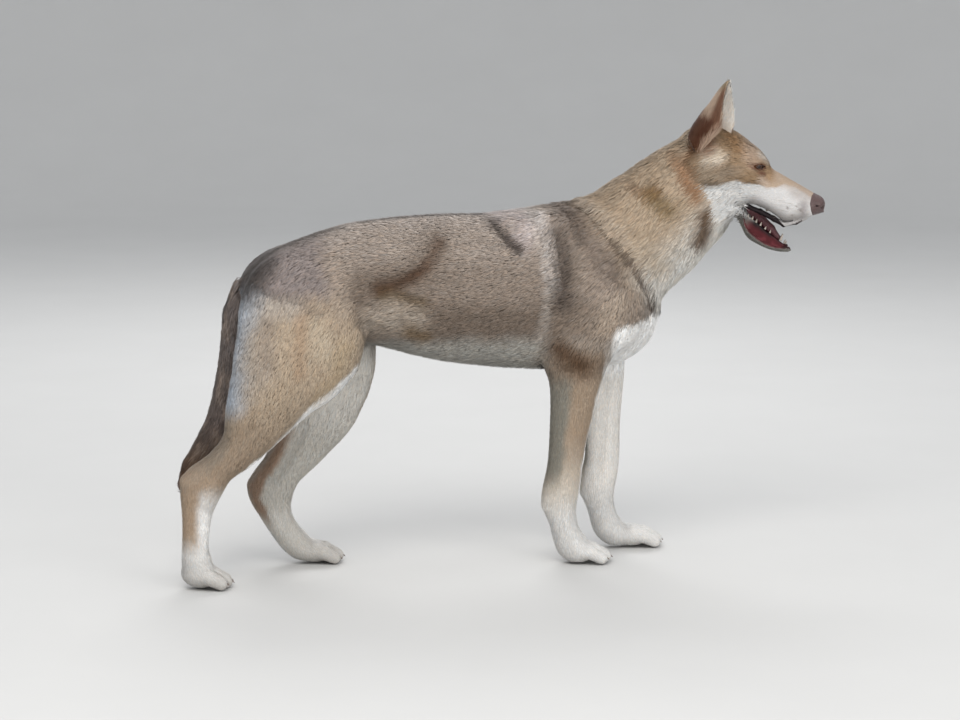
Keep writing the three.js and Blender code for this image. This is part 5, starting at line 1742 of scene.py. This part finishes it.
def nose_form(P):
    H = fold_sides(to_head(P))
    groove = strand(2, [[124, 0, -20, 1.6, 0.9], [118, 0, -40, 1.6, 0.9]])(H)
    return np.maximum(np.maximum(HEAD_FORM(P), nose_edge(H)), 0.8 - groove)


def tongue_form(P):
    H = to_head(P)
    body = strand(4, [[-4, 0, -92, 10, 16], [30, 0, -93, 10, 14], [58, 0, -100, 9, 11], [78, 0, -107, 6, 8]])
    groove = 1.6 * np.exp(-(H[:, 1] / 2.2) ** 2) * ramp(H[:, 2], -108, -90)
    return body(H) + 0.4 + groove


# ---------- claws, teeth and whiskers, all of one tapered, bent spike ----------
def spike_tree():
    """Sets a bent cone on each point: along `aim`, bent towards `curl`, sized by `long` and `thick`."""
    tree = bpy.data.node_groups.new("spikes", "GeometryNodeTree")
    face = tree.interface
    face.new_socket("Geometry", in_out="INPUT", socket_type="NodeSocketGeometry")
    for label, kind in (("Facets", "Int"), ("Rings", "Int"), ("Bend", "Float"), ("Tip", "Float")):
        face.new_socket(label, in_out="INPUT", socket_type="NodeSocket" + kind)
    face.new_socket("Finish", in_out="INPUT", socket_type="NodeSocketMaterial")
    face.new_socket("Geometry", in_out="OUTPUT", socket_type="NodeSocketGeometry")
    new, link = tree.nodes.new, tree.links.new
    given, out = new("NodeGroupInput"), new("NodeGroupOutput")
    cone, bent = new("GeometryNodeMeshCone"), new("GeometryNodeSetPosition")
    sets = new("GeometryNodeInstanceOnPoints")
    link(given.outputs["Facets"], cone.inputs["Vertices"])
    link(given.outputs["Rings"], cone.inputs["Side Segments"])
    link(given.outputs["Tip"], cone.inputs["Radius Top"])
    cone.inputs["Radius Bottom"].default_value = 1.0
    cone.inputs["Depth"].default_value = 1.0
    split, offset = new("ShaderNodeSeparateXYZ"), new("ShaderNodeCombineXYZ")
    link(new("GeometryNodeInputPosition").outputs[0], split.inputs[0])
    square = math_node(tree, "POWER", split.outputs["Z"], 2.0)
    link(math_node(tree, "MULTIPLY", square, given.outputs["Bend"]), offset.inputs["X"])
    link(cone.outputs["Mesh"], bent.inputs["Geometry"])
    link(offset.outputs[0], bent.inputs["Offset"])
    turned = []
    for axis, name in (("Z", "aim"), ("X", "curl")):
        named, align = new("GeometryNodeInputNamedAttribute"), new("FunctionNodeAlignRotationToVector")
        named.data_type, named.inputs[0].default_value = "FLOAT_VECTOR", name
        align.axis = axis
        if turned:
            align.pivot_axis = "Z"
            link(turned[-1].outputs[0], align.inputs["Rotation"])
        link(named.outputs[0], align.inputs["Vector"])
        turned.append(align)
    size = new("ShaderNodeCombineXYZ")
    for name, axes in (("thick", "XY"), ("long", "Z")):
        named = new("GeometryNodeInputNamedAttribute")
        named.data_type, named.inputs[0].default_value = "FLOAT", name
        for axis in axes:
            link(named.outputs[0], size.inputs[axis])
    link(given.outputs["Geometry"], sets.inputs["Points"])
    link(bent.outputs[0], sets.inputs["Instance"])
    link(turned[-1].outputs[0], sets.inputs["Rotation"])
    link(size.outputs[0], sets.inputs["Scale"])
    real, smooth = new("GeometryNodeRealizeInstances"), new("GeometryNodeSetShadeSmooth")
    finish = new("GeometryNodeSetMaterial")
    link(sets.outputs[0], real.inputs[0])
    link(real.outputs[0], smooth.inputs[0])
    link(smooth.outputs[0], finish.inputs["Geometry"])
    link(given.outputs["Finish"], finish.inputs["Material"])
    link(finish.outputs[0], out.inputs[0])
    return tree


SPIKES = spike_tree()


def spikes(name, rows, material, facets=10, rings=6, bend=0.3, tip=0.12):
    """rows of root, aim, curl (vectors, in the dog's millimetres), length and thickness."""
    roots, aims, curls, longs, thicks = (np.array(v, float) for v in zip(*rows))
    points = bpy.data.meshes.new(name + "_roots")
    points.from_pydata(placed(roots).tolist(), [], [])
    for label, values in (("aim", aims), ("curl", curls)):
        give(points, label, "FLOAT_VECTOR", unit(values))
    for label, values in (("long", longs), ("thick", thicks)):
        give(points, label, "FLOAT", values / MM)
    maker = add(points)
    modifier = maker.modifiers.new("spikes", "NODES")
    modifier.node_group = SPIKES
    values = {"Facets": facets, "Rings": rings, "Bend": float(bend), "Tip": float(tip), "Finish": material}
    for item in SPIKES.interface.items_tree:
        if item.in_out == "INPUT" and item.name in values:
            modifier[item.identifier] = values[item.name]
    held = bpy.context.evaluated_depsgraph_get()
    mesh = bpy.data.meshes.new_from_object(maker.evaluated_get(held))
    bpy.data.objects.remove(maker)
    mesh.name = name
    return add(mesh)


def claw_rows():
    rows = []
    for name, (at, yaw) in PAWS.items():
        c, s = math.cos(math.radians(yaw)), math.sin(math.radians(yaw))
        turn = np.array([[c, s, 0], [-s, c, 0], [0, 0, 1]])
        for rank in TOES:
            _, (x, y, z) = toe(rank, name.startswith("hind"))
            root = np.array([x + 4, y, z + 3.0]) @ turn + [*at, 0]
            rows.append((root, np.array([1, 0, -0.2]) @ turn, (0, 0, -1), 12.5, 3.6))
    return rows


LOWER_TEETH = [
    # along, aside, height of the root, length, radius
    [10, 21, -99, 3.5, 2.6], [19, 19.5, -99, 4, 2.8], [28, 18, -100, 4, 2.6], [38, 16.5, -101, 3.5, 2.4],
    [49, 15, -102.5, 3, 2.2], [60, 13.5, -104, 3, 2.0], [84, 10.2, -106, 9.5, 2.9], [93, 6.5, -107, 4, 1.9],
    [96, 2.4, -107.5, 4, 1.9],
]
UPPER_TEETH = [
    [10, 19, -70, 6, 4.2], [22, 18, -68, 7, 4.4], [36, 16.5, -67, 9, 5], [50, 15, -66, 6, 3.8],
    [62, 13.5, -64, 5, 3.4], [72, 12.5, -62, 5, 3], [81, 11.5, -60, 12, 4], [91, 7.5, -53, 6, 2.6],
    [94, 2.6, -52, 6, 2.6],
]


def teeth_rows(table, up):
    rows = []
    for along, aside, high, long, radius in table:
        for side in SIDES:
            root = from_head(np.array([along, aside * side, high - up * 3.0]))
            aim = HEAD @ np.array([-0.06, 0.06 * side, up])
            rows.append((root, aim, HEAD @ np.array([-1, 0, 0.2 * up]), long + 3, radius))
    return rows


def whisker_rows(rng):
    """Whiskers rooted in rows on the muzzle's sides."""
    roots, aims, curls, longs = [], [], [], []
    for side in SIDES:
        for row in range(4):
            for i in range(5):
                a, h = 90 - 9 * i + rng.normal(0, 1), -36 - 8 * row + rng.normal(0, 1) - 1.5 * i
                s = np.interp(a, [40, 70, 92, 104], [27, 25, 21, 16])
                roots.append([a, s * side, h])
                aims.append(HEAD @ np.array([-0.85, side * (0.6 - 0.04 * i), -0.3 - 0.12 * row]))
                curls.append(HEAD @ np.array([-1, -0.3 * side, -0.5]))
                longs.append(rng.uniform(18, 34) * (0.8 + 0.06 * i))
    roots = settle(skin_form, from_head(np.array(roots, float)), 6.0)
    return [(root, aim, curl, long, 0.24) for root, aim, curl, long in zip(roots, aims, curls, longs)]


# ---------- the floor, the light and the camera ----------
def build_floor():
    """A pale floor that rises into a seamless round wall, far out on every side."""
    material, tree, shader = new_material("pale_floor", Roughness=0.85, Specular_IOR_Level=0.2)
    place = tree.nodes.new("ShaderNodeTexCoord").outputs["Object"]
    shade = noise_node(tree, place, 3.0)
    pale = mix_colour(tree, shade.outputs[0], (0.53, 0.525, 0.515), (0.56, 0.555, 0.545))
    fill(tree, shader, {"Base Color": pale})
    flat, bend, high, around = 6.5, 3.5, 6.0, 72
    turn = np.linspace(0, math.pi / 2, 13)
    radius = np.r_[0.4, 2, 4, flat + bend * np.sin(turn), flat + bend]
    height = np.r_[0, 0, 0, bend * (1 - np.cos(turn)), high]
    angle = np.linspace(0, 2 * math.pi, around, endpoint=False)
    points = np.stack([radius[:, None] * np.cos(angle), radius[:, None] * np.sin(angle),
                       height[:, None] + 0 * angle], -1).reshape(-1, 3)
    faces = [list(range(around))]
    for ring in range(len(radius) - 1):
        for i in range(around):
            j, a = (i + 1) % around, ring * around
            faces.append((a + i, a + around + i, a + around + j, a + j))
    mesh = bpy.data.meshes.new("floor")
    mesh.from_pydata(points.tolist(), [], faces)
    mesh.materials.append(material)
    mesh.shade_smooth()
    add(mesh)


def aim_at(thing, target):
    """Turns a lamp or a camera to look at a point."""
    thing.rotation_euler = (Vector(target) - thing.location).to_track_quat("-Z", "Y").to_euler()


def build_lights():
    world = bpy.data.worlds.new("soft_daylight")
    world.use_nodes = True
    world.node_tree.nodes["Background"].inputs["Color"].default_value = (0.93, 0.96, 1.0, 1)
    world.node_tree.nodes["Background"].inputs["Strength"].default_value = 0.95
    bpy.context.scene.world = world
    for name, at, size, power, colour in (  # metres and watts
        ("key", (-1.4, -2.6, 3.6), 2.6, 104, (1.0, 0.98, 0.95)),
        ("fill", (1.6, -4.2, 1.5), 3.0, 90, (1.0, 0.99, 0.97)),
        ("rim", (0.6, 3.0, 3.2), 2.4, 70, (1.0, 1.0, 1.0)),
    ):
        light = bpy.data.lights.new(name, "AREA")
        light.shape, light.size, light.energy, light.color = "DISK", size, power, colour
        lamp = add(light)
        lamp.location = at
        aim_at(lamp, (0, 0, 0.4))


CAMERA_AT, CAMERA_TARGET = (-1.24233, -4.59544, 1.1), (0, 0.041, 0.37)  # metres, from the dog's own origin
SENSOR, FOCAL_LENGTH = 36, 98.95  # millimetres


def build_camera():
    lens = bpy.data.cameras.new("view")
    lens.sensor_width, lens.lens = SENSOR, FOCAL_LENGTH
    camera = add(lens)
    offset = Vector(SHIFT / MM)
    camera.location = Vector(CAMERA_AT) + offset
    aim_at(camera, Vector(CAMERA_TARGET) + offset)
    bpy.context.scene.camera = camera


# ---------- the model ----------
HIDE, FUR = hide_material(), fur_material()
NOSE_LEATHER = leather_material("nose_leather", "#6a5250", 1400.0, 1.0)
LIP_LEATHER = leather_material("lid_leather", "#45291f", 2200.0, 0.5)
# the tongue is coloured darker than its flesh: painted shade of the mouth's inside
TONGUE_FLESH = leather_material("tongue_flesh", "#5f2c33", 2600.0, 0.7)
CLAW_HORN = horn_material("claw_horn", "#564a44", "#8d7f77")
# the teeth are coloured a dim grey-brown: painted shade of the mouth's inside
TOOTH = horn_material("tooth", "#7d7269", "#a89d92")
WHISKER = horn_material("whisker", "#4a3b32", "#cfc6ba")

FLESH = ["torso", "neck", "foreleg_right", "hindleg_right", "foreleg_left", "hindleg_left", "tail", "head",
         "lower_jaw", "ear_right", "ear_left"]


def keep(piece, slot, *nodes, material=None):
    """Gives a piece its material, hides the nodes that it replaces and sets it on the body that it rides on;
    the slot is not used.
    """
    if material:
        piece.data.materials.append(material)
    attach(piece, "root")
    if nodes:
        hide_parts(*nodes)


skin = build_skin()
coat = build_coat(skin, FUR)
keep(skin, "coat", *FLESH, material=HIDE)
for piece in coat:
    keep(piece, "coat")
for side, hand in HANDS.items():
    keep(eyeball(side), "eye", f"eye_{hand}", material=eye_material())
    keep(lid_rim(side), "nose", material=LIP_LEATHER)
keep(net_near("nose_pad", nose_form, (112, 0, -17), 26, 1.1), "nose", "nose", material=NOSE_LEATHER)
keep(net_near("tongue_soft", tongue_form, (38, 0, -98), 62, 2.0), "mouth", "tongue", material=TONGUE_FLESH)
keep(spikes("claws", claw_rows(), CLAW_HORN, bend=1.1, tip=0.2), "claw")
teeth = teeth_rows(LOWER_TEETH, 1) + teeth_rows(UPPER_TEETH, -1)
keep(spikes("teeth", teeth, TOOTH, bend=0.25, tip=0.2), "teeth")
whiskers = whisker_rows(np.random.default_rng(3))
keep(spikes("whiskers", whiskers, WHISKER, facets=5, rings=8, bend=14.0, tip=0.15), "whisker")
build_floor()
build_lights()
build_camera()
bpy.context.scene.view_settings.view_transform = "Standard"
